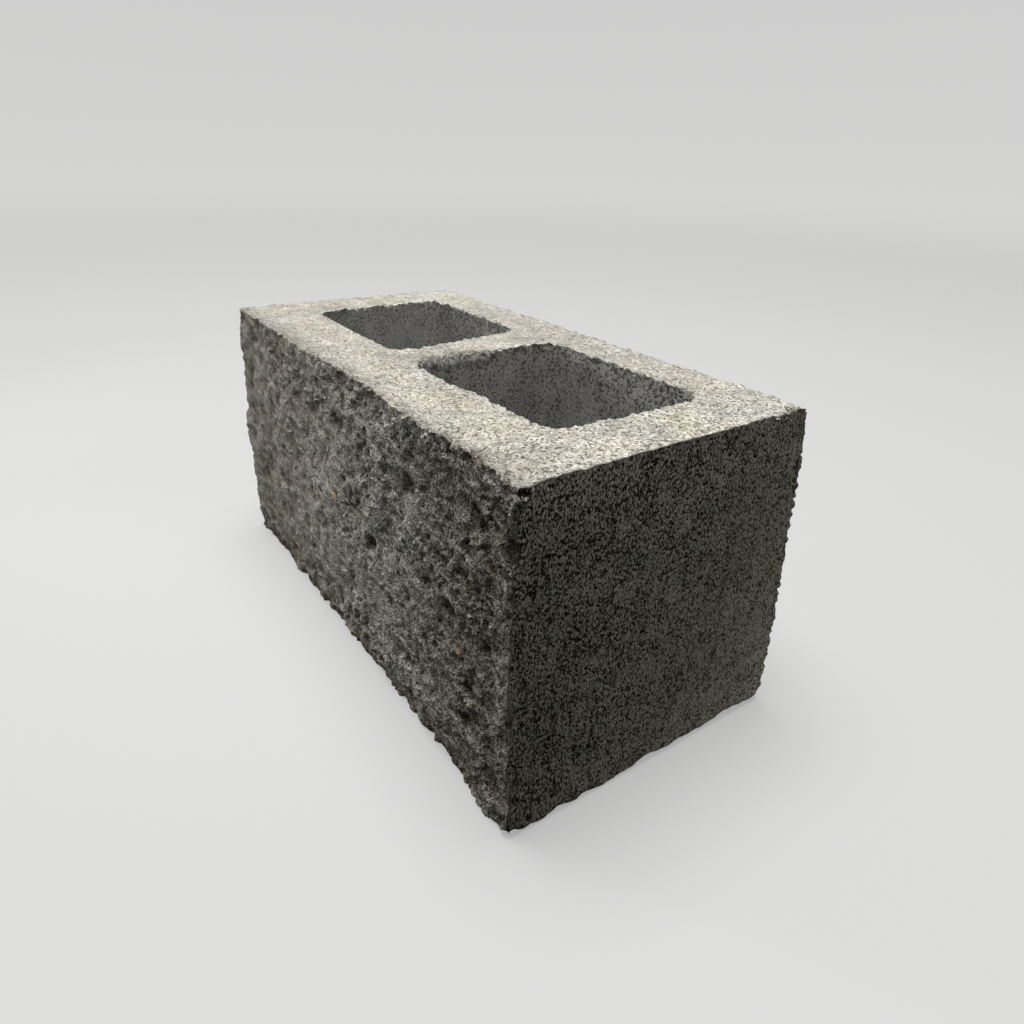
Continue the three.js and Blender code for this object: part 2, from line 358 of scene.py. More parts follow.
# finer round the notch under the near top corner
pts = pts[(pts[:, 0] > YF + 9) | (pts[:, 1] < 180)]
pts = np.concatenate([pts, lattice_points([(YF + 0.55 * k, 0.55) for k in range(1, 17)], lambda u: 0.6, (180, HEIGHT))])
pts = pts[(pts[:, 1] > 0.5) & (pts[:, 1] < HEIGHT - 0.4)]
ids = add(np.stack([np.full(len(pts), HX), pts[:, 0], pts[:, 1]], 1), NEAR_END)
fill([loop], [loop_ids], pts, ids, True)

# far end, in (y, z), outward -X
loop, loop_ids = rectangle([
    corner[-1, 0, 0], arris["y00"], corner[-1, 1, 0], arris["z01"], corner[-1, 1, 1],
    arris["y01"][::-1], corner[-1, 0, 1], arris["z00"][::-1]], 1, 2)
cols = columns(WY, lambda s: graded(s, WY, 3.7, 1.2, 1.2))
rows = columns(HEIGHT, lambda s: graded(s, HEIGHT, 3.7, 1.2, 1.2))
pts = np.array([[u + YF + du * (rng.random() - 0.5) * 0.4, v + (0.5 * dv if k % 2 and 8 < v < HEIGHT - 8 else 0) + dv * (rng.random() - 0.5) * 0.4]
                for k, (u, du) in enumerate(cols) for v, dv in rows])
pts = pts[(pts[:, 1] > 0.5) & (pts[:, 1] < HEIGHT - 0.5)]
ids = add(np.stack([np.full(len(pts), -HX), pts[:, 0], pts[:, 1]], 1), FAR_END)
fill([loop], [loop_ids], pts, ids, False)


# ---------------------------------------------------------------- cores
def grow(outline, distance):
    n, out = len(outline), []
    for k in range(n):
        e1 = outline[k] - outline[k - 1]
        e2 = outline[(k + 1) % n] - outline[k]
        e1, e2 = e1 / np.linalg.norm(e1), e2 / np.linalg.norm(e2)
        n1, n2 = np.array([e1[1], -e1[0]]), np.array([e2[1], -e2[0]])
        m = (n1 + n2) / np.linalg.norm(n1 + n2)
        out.append(outline[k] + m * distance / (m @ n1))
    return np.array(out)


def rounded(outline, radius, t):
    """Points of a rounded outline at t: corner number plus 0..1, half on its arc and half on the side after it."""
    n, pieces = len(outline), []
    for k in range(n):
        into = outline[k] - outline[k - 1]
        away = outline[(k + 1) % n] - outline[k]
        into, away = into / np.linalg.norm(into), away / np.linalg.norm(away)
        turn = math.acos(np.clip(into @ away, -1, 1))
        start = outline[k] - into * radius * math.tan(turn / 2)
        end = outline[k] + away * radius * math.tan(turn / 2)
        centre = start + np.array([-into[1], into[0]]) * radius
        pieces.append((start, centre, turn, end))
    k = np.floor(t).astype(int) % n
    f = t - np.floor(t)
    out = np.zeros((len(t), 2))
    for q in range(n):
        start, centre, turn, end = pieces[q]
        following = pieces[(q + 1) % n][0]
        on = (k == q) & (f < 0.5)
        angle = turn * f[on] * 2
        d = start - centre
        out[on] = centre + np.stack([d[0] * np.cos(angle) - d[1] * np.sin(angle), d[0] * np.sin(angle) + d[1] * np.cos(angle)], 1)
        on = (k == q) & (f >= 0.5)
        out[on] = end + (following - end) * ((f[on] - 0.5) * 2)[:, None]
    return out


class Core:
    """A core's wall as a ruled surface, by arc length round the upper rim and height."""

    def __init__(self, corners):
        outline = np.array(corners, float)
        t = np.linspace(0, 4, 4001)
        top = rounded(outline, CORE_RADIUS, t)
        low = rounded(grow(outline, CORE_DRAFT), CORE_RADIUS + CORE_DRAFT, t)
        self.s = np.concatenate([[0], np.cumsum(np.linalg.norm(np.diff(top, axis=0), axis=1))])
        self.top, self.low, self.length = top, low, self.s[-1]

    def ring(self, s, table):
        return np.stack([np.interp(s, self.s, table[:, 0]), np.interp(s, self.s, table[:, 1])], 1)

    def place(self, s, z):
        f = (np.asarray(z) / HEIGHT)[:, None]
        xy = self.ring(s, self.low) * (1 - f) + self.ring(s, self.top) * f
        return np.column_stack([xy, z])

    def normal(self, s):
        """Out of the concrete, into the core."""
        d = self.ring((s + 0.3) % self.length, self.top) - self.ring((s - 0.3) % self.length, self.top)
        d /= np.linalg.norm(d, axis=1)[:, None]
        return np.column_stack([-d[:, 1], d[:, 0], np.zeros(len(s))])


cores = [
    (Core([[WEB_NEAR_X, CORE_FRONT_Y], [CORE_END_X, CORE_FRONT_Y], [CORE_END_X, CORE_BACK_Y], [WEB_NEAR_X, CORE_BACK_Y]]),
     CORE_A, 1.4, 3.6, 3.5),
    (Core([[-CORE_END_X, CORE_FRONT_Y], [WEB_FAR_FRONT_X, CORE_FRONT_Y], [WEB_FAR_BACK_X, CORE_BACK_Y], [-CORE_END_X, CORE_BACK_Y]]),
     CORE_B, 2.0, 5.0, 5.4),
]
rims = []
for core, kind, rim_step, foot_step, wall_step in cores:
    P = core.length
    s_top = steps(P, lambda s: s * 0 + rim_step)[:-1]
    s_low = steps(P, lambda s: s * 0 + foot_step)[:-1]
    data = lambda s: np.column_stack([s, core.normal(s)[:, :2]])
    top_ids = add(core.place(s_top, np.full(len(s_top), HEIGHT)), kind, data(s_top))
    low_ids = add(core.place(s_low, np.zeros(len(s_low))), kind, data(s_low))
    z_seam = steps(HEIGHT, lambda s: graded(s, HEIGHT, wall_step, 1.5, 0.8))[1:-1]
    seam_ids = add(core.place(np.zeros(len(z_seam)), z_seam), kind, data(np.zeros(len(z_seam))))
    rims.append((top_ids, low_ids))
    loop = np.concatenate([
        np.column_stack([s_low, s_low * 0]), [[P, 0]],
        np.column_stack([z_seam * 0 + P, z_seam]), [[P, HEIGHT]],
        np.column_stack([s_top[::-1], s_top * 0 + HEIGHT]),
        np.column_stack([z_seam * 0, z_seam[::-1]])])
    loop_ids = np.concatenate([low_ids, low_ids[:1], seam_ids, top_ids[:1], top_ids[::-1], seam_ids[::-1]])
    z_lines = columns(HEIGHT, lambda s: graded(s, HEIGHT, wall_step, 1.5, 0.8))
    out = []
    for k, (z, dz) in enumerate(z_lines):
        step = max(wall_step if z < HEIGHT - 9 else rim_step + (HEIGHT - z) / 9 * (wall_step - rim_step), rim_step)
        n = int(round(P / step))
        s = (np.arange(n) + (0.25 if k % 2 else 0.75)) * P / n
        p = np.column_stack([s, np.full(n, z)]) + (rng.random((n, 2)) - 0.5) * 0.35 * [step, dz]
        out.append(p)
    pts = np.concatenate(out)
    pts = pts[(pts[:, 0] > 0.6) & (pts[:, 0] < P - 0.6) & (pts[:, 1] > 0.4) & (pts[:, 1] < HEIGHT - 0.4)]
    ids = add(core.place(pts[:, 0], pts[:, 1]), kind, data(pts[:, 0]))
    # arc length runs counter-clockwise seen from above: outward from the concrete is into the core
    fill([loop], [loop_ids], pts, ids, False)

# top, in (x, y), outward +Z
loop, loop_ids = rectangle([
    corner[-1, 0, 1], arris["x01"], corner[1, 0, 1], arris["y11"], corner[1, 1, 1],
    arris["x11"][::-1], corner[-1, 1, 1], arris["y01"][::-1]], 0, 1)
holes = [place_of(r[0])[:, :2] for r in rims]
pts = []
for x0, x1, step_x, step_y in ((-HX, -80, 2.5, 2.3), (-80, 30, 2.1, 2.0), (30, HX, 1.75, 1.65)):
    n = int(round((x1 - x0) / step_x))
    xs = [(x0 + (k + 0.5) * (x1 - x0) / n, step_x) for k in range(n)]
    pts.append(lattice_points(xs, lambda u, s=step_y: s, (YF, YK)))
pts = np.concatenate(pts)


def rim_distance(points):
    """Distance to each core's upper rim, negative inside, with the arc length of the nearest point."""
    best, arc, which = np.full(len(points), 1e9), np.zeros(len(points)), np.zeros(len(points), int)
    for n, (core, *_rest) in enumerate(cores):
        table, arcs = core.top[::8], core.s[::8]
        for k in range(0, len(points), 4000):
            p = points[k:k + 4000]
            d = np.linalg.norm(p[:, None] - table[None], axis=2)
            j = d.argmin(1)
            m = d[np.arange(len(p)), j]
            sign = np.where(inside(p, [core.top[:-1:8]]), -1, 1)
            closer = m < np.abs(best[k:k + 4000])
            best[k:k + 4000] = np.where(closer, m * sign, best[k:k + 4000])
            arc[k:k + 4000] = np.where(closer, arcs[j], arc[k:k + 4000])
            which[k:k + 4000] = np.where(closer, n, which[k:k + 4000])
    return best, arc, which


d, _, _ = rim_distance(pts)
pts = pts[(d > 0.9) & (pts[:, 0] > -HX + 0.9) & (pts[:, 0] < HX - 0.6) & (pts[:, 1] > YF + 0.6) & (pts[:, 1] < YK - 0.9)]
ids = add(np.column_stack([pts, np.full(len(pts), HEIGHT)]), TOP)
fill([loop, *holes], [loop_ids, *[r[0] for r in rims]], pts, ids, True)

# bottom, in (x, y), outward -Z
loop, loop_ids = rectangle([
    corner[-1, 0, 0], arris["x00"], corner[1, 0, 0], arris["y10"], corner[1, 1, 0],
    arris["x10"][::-1], corner[-1, 1, 0], arris["y00"][::-1]], 0, 1)
holes = [place_of(r[1])[:, :2] for r in rims]
cols = columns(LENGTH, lambda s: graded(s, LENGTH, 4.6, 1.4, 1.2))
rows = columns(WY, lambda s: graded(s, WY, 4.6, 1.2, 1.4))
pts = np.array([[u - HX + du * (rng.random() - 0.5) * 0.4, v + YF + (0.5 * dv if k % 2 and 8 < v < WY - 8 else 0) + dv * (rng.random() - 0.5) * 0.4]
                for k, (u, du) in enumerate(cols) for v, dv in rows])
pts = pts[(pts[:, 1] > YF + 0.5) & (pts[:, 1] < YK - 0.5)]
for hole in holes:
    near = np.linalg.norm(pts[:, None] - hole[None], axis=2).min(1)
    pts = pts[~inside(pts, [hole]) & (near > 1.6)]
ids = add(np.column_stack([pts, np.zeros(len(pts))]), BOTTOM)
fill([loop, *holes], [loop_ids, *[r[1] for r in rims]], pts, ids, False)

P0 = np.concatenate(base)
KIND = np.concatenate(kinds)
CORE = np.concatenate(extra)
TRI = np.concatenate(faces)


# ---------------------------------------------------------------- the coarse break, worn arrises and rims
smooth = lambda t: (lambda c: c * c * (3 - 2 * c))(np.clip(t, 0, 1))
X, Y, Z = P0.T
P = P0.copy()
P[:, 1] -= relief(X, Z) * (1 - smooth((Y - YF) / 28))

# how far each vertex lies inside each of the six planes
DEEP = np.stack([HX - X, X + HX, Y - YF, YK - Y, HEIGHT - Z, Z], 1)
PX, MX, MY, PY, PZ, MZ = range(6)


def wavering(s, base_radius, swing, cell, seed, low=0.25):
    """A worn radius that wanders along an arris."""
    n = fractal(s, s * 0 + seed * 7.3, cell, seed, 3, 0.6)
    return np.clip(base_radius + swing * n, low, None)


# height of the broken foot of the near end, by Y, and wear of the near back arris, by Z
FOOT = np.array([
    (-97, 3.6), (-90, 3.4), (-86, 2.6), (-78, 2.5), (-70, 2.2), (-66, 3.1), (-62, 5.4), (-58, 4.2),
    (-54, 2.8), (-50, 2.3), (-46, 3.4), (-42, 3.6), (-38, 3.2), (-34, 2.3), (-30, 2.0), (-22, 2.8),
    (-14, 2.8), (-10, 3.1), (-6, 5.0), (-2, 6.1), (2, 6.0), (6, 5.2), (10, 4.2), (14, 3.4), (18, 3.4),
    (22, 4.5), (30, 4.3), (38, 4.5), (46, 4.5), (54, 4.7), (58, 5.1), (62, 6.3), (66, 7.0), (70, 6.3),
    (74, 6.1), (78, 5.4), (82, 4.8), (86, 4.5), (90, 4.3), (96.8, 5.0)])
BACK_WEAR = np.array([(0, 3.8), (8, 3.4), (14, 1.3), (24, 0.7), (100, 0.5), (172, 0.8), (182, 2.8), (188, 3.9), (193.7, 4.6)])

peak = lambda s, at, half: np.exp(-((s - at) / half) ** 2)
ARRISES = [
    # planes that meet, coordinate along, radius, crumbs
    (PX, MZ, 1, lambda s: np.interp(s, FOOT[:, 0], FOOT[:, 1]) * 1.22 * 1.1 + 0.5 * gradient_noise(s, s * 0 + 3, 2.6, 5) + 3.5 * peak(s, -95, 9), 0.5),
    (PX, PZ, 1, lambda s: wavering(s, 0.5, 0.45, 7, 61) + 2.6 * peak(s, 97, 5) + 0.3 * peak(s, -93, 4), lambda s: 0.45 + 1.15 * smooth((s - 25) / 50)),
    (PX, PY, 2, lambda s: np.interp(s, BACK_WEAR[:, 0], BACK_WEAR[:, 1]) + wavering(s, 0.0, 0.7, 8, 62, -0.5), 1.15),
    (PX, MY, 2, lambda s: wavering(s, 0.45, 0.35, 6, 63) + 4.5 * peak(s, 0, 9), 0.3),
    (MX, MZ, 1, lambda s: wavering(s, 2.6, 1.6, 12, 64), 0.8),
    (MX, PZ, 1, lambda s: wavering(s, 1.8, 1.6, 9, 65) + 3.2 * peak(s, 96, 7), 1.2),
    (MX, PY, 2, lambda s: wavering(s, 1.9, 1.2, 12, 66) + 2.5 * peak(s, 0, 9) + 2.0 * peak(s, 194, 7), 1.0),
    (MX, MY, 2, lambda s: wavering(s, 1.2, 0.8, 9, 67), 0.4),
    (MY, PZ, 0, lambda s: wavering(s, 0.85, 0.7, 8, 68), 0.4),
    (MY, MZ, 0, lambda s: wavering(s, 1.3, 0.9, 9, 69) + 4.5 * peak(s, 198, 12), 0.5),
    (PY, PZ, 0, lambda s: wavering(s, 3.2, 3.4, 9, 70) + 3.5 * peak(s, 198, 10) + 3.0 * peak(s, -198, 9), 1.3),
    (PY, MZ, 0, lambda s: wavering(s, 2.8, 1.8, 12, 71), 0.9),
]
CRUMB = np.zeros((len(P), 3))
weight, radius = np.full(len(P), 1e-9), np.full(len(P), 1e-9)
OUT = np.array([[1, 0, 0], [-1, 0, 0], [0, -1, 0], [0, 1, 0], [0, 0, 1], [0, 0, -1]], float)
for number, (a, b, axis, size, crumbs) in enumerate(ARRISES):
    d = np.hypot(DEEP[:, a], DEEP[:, b])
    across = DEEP[:, a] - DEEP[:, b]
    crumbs = crumbs(P0[:, axis])[:, None] if callable(crumbs) else crumbs
    crumb = 1.5 * grains(P0[:, axis], across, 3.4, 700 + 20 * number, 0.75) + 0.8 * grains(P0[:, axis], across, 2.1, 710 + 20 * number, 0.8) - 0.85
    CRUMB += (OUT[a] + OUT[b]) * 0.62 * crumbs * (crumb * np.exp(-(d / 2.6) ** 2))[:, None]
    w = np.where(d < 14, 1 / (d + 0.15) ** 2, 0)
    r = np.clip(size(P0[:, axis]), 0.25, None)
    weight, radius = weight + w, radius + w * r
radius /= weight
skin_of_block = (KIND != CORE_A) & (KIND != CORE_B)
near = skin_of_block & (DEEP.min(1) < 1e-6)
v = np.clip(radius[:, None] - DEEP, 0, None)
v[~near] = 0
length = np.linalg.norm(v, axis=1)
reach = v.max(1)
worn = length > reach + 1e-9
pull = np.where(worn, 1 - reach / np.maximum(length, 1e-9), 0)
P -= (v * pull[:, None]) @ OUT
CRUMB += (OUT[PX] + OUT[PY]) * (0.36 * np.exp(-(np.hypot(DEEP[:, PX], DEEP[:, PY]) / 3.0) ** 2) * smooth((Z - 20) / 30) * smooth((185 - Z) / 15))[:, None]
P += CRUMB * near[:, None]
WEAR = np.clip(pull * 4, 0, 1)            # for the colour of a worn arris

# rims of the cores
rim_near, rim_arc, rim_core = np.full(len(P), 99.0), np.zeros(len(P)), np.zeros(len(P), int)
on_top = np.flatnonzero((KIND == TOP) | ((KIND == FRONT) & (Z > HEIGHT - 1e-6)))
d, arc, which = rim_distance(P0[on_top][:, :2])
rim_near[on_top], rim_arc[on_top], rim_core[on_top] = d, arc, which
for number, kind in ((0, CORE_A), (1, CORE_B)):
    wall = np.flatnonzero(KIND == kind)
    rim_arc[wall], rim_core[wall], rim_near[wall] = CORE[wall, 0], number, 0


def nearest_arc(core, point):
    return core.s[np.linalg.norm(core.top - np.asarray(point), axis=1).argmin()]


def bump_along(s, at, half, P_len):
    d = np.abs((s - at + P_len / 2) % P_len - P_len / 2)
    return np.exp(-(d / half) ** 4)


rim_radius = np.zeros(len(P))
for number, (core, kind, *_r) in enumerate(cores):
    mine = rim_core == number
    s = rim_arc[mine]
    L = core.length
    # noise that closes on itself round the rim
    around = 2 * np.pi * s / L
    nx, ny = np.cos(around) * L / 2 / np.pi, np.sin(around) * L / 2 / np.pi
    r = 1.3 + 1.1 * fractal(nx, ny, 5, 80 + number, 3, 0.7)
    if number == 0:
        # the crumbled lip of the centre web
        a, b = nearest_arc(core, (WEB_NEAR_X, -38)), nearest_arc(core, (WEB_NEAR_X, 12))
        mid = nearest_arc(core, (WEB_NEAR_X, -14))
        rough = 4.4 + 2.6 * fractal(nx, ny, 8, 90, 3, 0.6)
        r = r + rough * bump_along(s, mid, 27, L)
    else:
        r = r + 3.0 * bump_along(s, nearest_arc(core, (WEB_FAR_BACK_X, CORE_BACK_Y)), 8, L)
    rim_radius[mine] = np.clip(r, 0.3, None)
wall = (KIND == CORE_A) | (KIND == CORE_B)
top_d = np.where(wall, 0, np.where(KIND == TOP, rim_near, 99))
wall_d = np.where(wall, HEIGHT - Z, 99)
into = np.zeros((len(P), 3))              # level, out of the concrete into the core
into[wall, :2] = CORE[wall, 1:]
t_ids = np.flatnonzero((KIND == TOP) & (rim_near < 12))
for number, (core, *_r) in enumerate(cores):
    mine = t_ids[rim_core[t_ids] == number]
    into[mine] = core.normal(rim_arc[mine])
qa = np.clip((rim_radius - wall_d) / rim_radius, 0, 1) * wall
qb = np.clip((rim_radius - top_d) / rim_radius, 0, 1) * (KIND == TOP)
q = np.where(wall, qa, qb)
L1 = 1 - 1 / np.sqrt(1 + q * q)
up = np.array([0, 0, 1.0])
move = np.where(wall[:, None], -(into + q[:, None] * up), -(up + q[:, None] * into)) * (rim_radius * L1)[:, None]
P += np.where((q > 0)[:, None], move, 0)
WEAR = np.maximum(WEAR, np.clip(L1 * 4, 0, 1) * (q > 0))
rim_gap = np.where(wall, wall_d, top_d)
rim_span = np.where(wall, -wall_d, top_d)
for number in (0, 1):
    here = np.flatnonzero((rim_core == number) & (rim_gap < 9) & (rim_radius > 0))
    s = rim_arc[here]
    crumb = 0.8 * grains(s, rim_span[here], 3.4, 960 + 20 * number, 0.6) + 1.2 * grains(s, rim_span[here], 1.9, 970 + 20 * number, 0.7) - 0.75
    P[here] += (into[here] + up) * (0.85 * crumb * np.exp(-(rim_gap[here] / 2.8) ** 2))[:, None]
# the crumbled lip of the centre web is torn as well as worn
LIP = bump_along(rim_arc, nearest_arc(cores[0][0], (WEB_NEAR_X, -14)), 27, cores[0][0].length) * (rim_core == 0) * np.exp(-(rim_gap / 7.0) ** 2)
LIP = np.where(rim_near < 90, LIP, 0)
ABOUT_LIP = bump_along(rim_arc, nearest_arc(cores[0][0], (WEB_NEAR_X, -20)), 30, cores[0][0].length) * (rim_core == 0) * np.exp(-(rim_near / 15.0) ** 2) * (KIND == TOP)
P[:, 2] += LIP * (1.9 * grains(X, Y, 4.4, 991, 0.55) + 1.1 * grains(X, Y, 2.6, 995, 0.6) - 1.2 * grains(X, Y, 5.2, 999, 0.4) - 0.9)
WEAR = np.maximum(WEAR, LIP)

# ---------------------------------------------------------------- grain
# the fracture: stones that stand out, sockets they left, torn paste between
wx = run_of(X) + 2.6 * gradient_noise(X, Z, 12, 301) + 0.9 * gradient_noise(X, Z, 4.5, 302)
wz = Z + 2.6 * gradient_noise(X, Z, 12, 303) + 0.9 * gradient_noise(X, Z, 4.5, 304)


def fracture(x, z):
    rough = 0.70 + 0.6 * smooth(0.5 + 0.9 * gradient_noise(x, z, 38, 305))
    torn = 1 - np.abs(gradient_noise(x, z, 17, 310)) * 2
    torn2 = 1 - np.abs(gradient_noise(x, z, 7.5, 311)) * 2
    torn3 = 1 - np.abs(gradient_noise(x, z, 4.2, 312)) * 2
    f = 0.95 * torn + 0.75 * torn2
    g = 0.70 * torn3 + 1.2 * grains(x, z, 8.5, 320, 0.25) + 1.05 * grains(x, z, 4.8, 330, 0.5) + 0.85 * grains(x, z, 2.8, 340, 0.7)
    g = g - 1.6 * grains(x, z, 6.5, 350, 0.15) - 1.2 * grains(x, z, 3.6, 360, 0.26)
    return f + rough * (0.84 * g + 0.60 * gradient_noise(x, z, 2.0, 370))


F_BREAK = fracture(wx, wz)
F_BREAK = ramp((X + HX) / 170, 0.66, 0.85) * (F_BREAK - F_BREAK[KIND == FRONT].mean())
HOLLOWS = [
    # centre x, z, half-widths, depth (negative stands out)
    (100, 153, 7, 6, 2.4), (108, 170, 8, 4, 0.7), (169, 163, 6.5, 7, 2.8), (150, 178, 5, 3.5, 0.6), (119, 105, 7, 6, 2.4),
    (159, 129.5, 5.5, 5, 2.2), (146, 104, 6, 5, 2.4), (133, 99, 4, 4, 1.3), (175, 100, 5, 6, 1.2), (90, 36, 5.5, 4.5, 1.9),
    (161, 66, 8, 5.5, 2.6), (159, 42, 8.5, 5, 2.6), (48, 97, 5.5, 6, 1.8), (-1, 160, 4.5, 5, 1.7), (27, 186, 5, 3, 1.2),
    (142, 187, 6, 3, 1.2), (196, 93, 3, 5, 1.2), (145, 137, 4.5, 3.2, 2.0), (93, 149, 4.0, 3.0, 1.6),
    (149, 131, 4.5, 3.2, -1.5), (77, 175, 8, 8, -1.2), (122, 184, 6, 4, -0.8), (132, 120, 8, 6, -1.0), (104, 128, 10, 8, -1.0),
    (62, 119, 7, 11, -1.2), (62, 159, 7, 6, -0.9), (181, 151, 4, 5, -0.7), (65, 60, 10, 8, -1.2), (176, 140, 5, 6, -1.1), (176, 82, 5, 4, -1.0),
]
for cx, cz, rx, rz, depth in HOLLOWS:
    F_BREAK -= (1.25 if depth > 0 else 1.0) * depth * np.exp(-(((wx - run_of(cx)) / rx) ** 2 + ((wz - cz) / rz) ** 2) ** 1.5)
# a torn rib that runs up beside the near arris, and fuller edges at the far and near foot
beside = smooth((Z - 55) / 20) * smooth((165 - Z) / 15)
F_BREAK += beside * (0.6 * np.exp(-((X - 192.5) / 4.2) ** 2) - 1.4 * np.exp(-((X - 180.5) / 6) ** 2)) * (0.8 + 0.5 * gradient_noise(X, Z, 9, 381))
# the near arris of the break at a finer scale than the coarse break has
TRACE = np.array([
    (0, 0.4), (10, 1.2), (19.6, 1.4), (24, 0.7), (29, 1.0), (36, 2.0), (41.7, 3.2), (48, 3.4), (54, 3.0), (60, 1.6), (66, 1.2),
    (72, 1.2), (79, 2.4), (84, 3.1), (91.7, 3.7), (96, 3.8), (102.6, 3.4), (108, 3.0), (113.5, 2.6), (120, 2.7),
    (126.5, 2.1), (132, 1.8), (137, 1.2), (144, 2.8), (151.7, 2.7), (156, 0.7), (159, 0.1), (163.7, -0.7), (168, 0.4), (173, 2.0),
    (177.6, 2.8), (182, 3.4), (186.5, 3.0), (191, 1.5), (193.7, 0.9)])
F_BREAK *= 1 - 0.55 * np.exp(-((HX - X) / 3.0) ** 2)
F_BREAK += (np.interp(Z, TRACE[:, 0], TRACE[:, 1]) - relief(np.full_like(Z, HX), Z)) * np.exp(-((HX - X) / 6.5) ** 2)
F_BREAK += 1.5 * np.exp(-((X + 198) / 9) ** 2) * smooth((Z - 70) / 30) * smooth((191 - Z) / 16) + 2.6 * np.exp(-((X - 178) / 15) ** 2 - ((Z - 2) / 12) ** 2)
print("fracture rms", F_BREAK[KIND == FRONT].std(), "range", F_BREAK[KIND == FRONT].min(), F_BREAK[KIND == FRONT].max())


def skin(a, b, seed, cell=6.0):
    """A moulded face: flat skin with torn pits. Zero on the skin, negative in the pits."""
    n = fractal(a, b / 1.3, cell, seed, 3, 0.75)
    pit = smooth((n - 0.25) / 0.25)
    return -1.15 * pit * (0.6 + 0.4 * gradient_noise(a, b, 3, seed + 9)), pit


def bed(a, b, seed):
    return 0.42 * fractal(a, b, 6.5, seed, 3, 0.7) + 0.35 * grains(a, b, 4.2, seed + 3, 0.35) - 0.7 * grains(a, b, 5.0, seed + 5, 0.22)


F_NEAR, PIT_NEAR = skin(Y, Z, 401, 4.2)
STRIP = np.exp(-(np.clip(DEEP[:, MY] - np.interp(Z, (150, 172, 184), (0.8, 1.4, 2.2)), 0, None) / 1.3) ** 2) * smooth((Z - 146) / 16) * smooth((186.5 - Z) / 3)
STRIP *= (KIND == NEAR_END) * smooth(0.75 + 0.6 * gradient_noise(Y, Z, 5, 411))
F_NEAR = F_NEAR - STRIP * (0.55 + 0.6 * gradient_noise(Y, Z, 3.2, 412))
F_FAR, PIT_FAR = skin(Y, Z, 421)
F_REAR, PIT_REAR = skin(X, Z, 441, 7)
F_TOP = bed(X, Y, 461)
F_LOW = bed(X, Y, 481)
fall = lambda d: np.exp(-(np.clip(d, 0, None) / 2.3) ** 2)
D = np.zeros_like(P)
for plane, f in ((PX, F_NEAR), (MX, F_FAR), (MY, F_BREAK), (PY, F_REAR), (PZ, F_TOP), (MZ, F_LOW)):
    w = fall(DEEP[:, plane]) * skin_of_block
    if plane == PZ:
        w = np.where(wall, fall(wall_d), w)
    if plane == MZ:
        w = np.where(wall, fall(Z), w)
    D += OUT[plane] * (f * w)[:, None]
# core walls: rougher than the outside faces
F_CORE = np.zeros(len(P))
for number, (core, kind, *_r) in enumerate(cores):
    mine = KIND == kind
    s, z = CORE[mine, 0], Z[mine]
    turns = s / core.length * 2 * np.pi
    cx, cy = np.cos(turns) * core.length / 2 / np.pi, np.sin(turns) * core.length / 2 / np.pi
    # three sheets of plane noise stand in for noise round a closed wall
    f = 0.5 * (fractal(cx + z, cy, 7, 501) + fractal(cy - z, cx, 7, 502) + 0.7 * fractal(s, z / 1.5, 5, 503) * smooth(np.minimum(s, core.length - s) / 6))
    F_CORE[mine] = 0.9 * f - 0.8 * smooth((f - 0.15) / 0.25)
D += into * (F_CORE * wall)[:, None]
P += D

# the line between the bed and the break is frayed: the break bites into the bed, and crumbs of the bed hang over it
fray = fractal(X, X * 0 + 9.1, 6.5, 97, 3, 0.7)
into_bed = np.clip(0.5 + 3.4 * fray, 0, 4.5) * smooth((HX - 2 - X) / 6) * (1 - peak(X, 78, 8))
over_break = np.clip(0.2 - 2.6 * fray, 0, 2.4) + 1.4 * smooth((-40 - X) / 70) + 1.5 * peak(X, 79, 6) + 1.0 * peak(X, -47, 9)
BITTEN = smooth((into_bed + 1.2 * gradient_noise(X, Y, 3.0, 98) - DEEP[:, MY]) / 1.2 + 0.2) * (KIND == TOP)
BITTEN = np.where((KIND == FRONT) & (DEEP[:, PZ] < 4), smooth(into_bed / 1.5) * np.exp(-(DEEP[:, PZ] / 1.6) ** 2), BITTEN)
P[:, 2] -= 1.5 * BITTEN
fray = fractal(Y, Y * 0 + 4.3, 5.5, 197, 3, 0.7)
into_bed = np.clip(0.3 + 2.6 * fray, 0, 2.4) * ramp((Y + 70) / 120, 0.1, 0.8) + smooth((Y - 30) / 40) * np.clip(0.4 + 3.0 * fray, 0, 3) + (4.4 + 2.5 * fray) * peak(Y, 91, 10)
NICKED = smooth((into_bed + 1.0 * gradient_noise(X, Y, 2.6, 198) - DEEP[:, PX]) / 1.0 + 0.1) * (KIND == TOP) * (DEEP[:, PX] < 9)
P[:, 2] -= (1.1 + 1.3 * smooth((Y - 40) / 30)) * NICKED
BITTEN = np.maximum(BITTEN, NICKED)
# crumbs are missing from the rims of the cores as well
plucked = np.clip(0.2 + 2.9 * fractal(X, Y, 6.0, 297, 3, 0.75), 0, 3.6) + 1.0 * gradient_noise(X, Y, 2.6, 298)
PLUCKED = smooth((plucked - rim_near) / 1.1 + 0.1) * (KIND == TOP) * (rim_near < 9)
P[:, 2] -= 1.2 * PLUCKED
BITTEN = np.maximum(BITTEN, PLUCKED)
BITTEN = np.maximum(BITTEN, (KIND == TOP) * LIP * np.clip(0.65 + 1.3 * gradient_noise(X, Y, 3.0, 296), 0, 0.95))
BITTEN = np.maximum(BITTEN, ABOUT_LIP * np.clip(-0.25 + 2.2 * gradient_noise(X, Y, 2.8, 295), 0, 0.9))
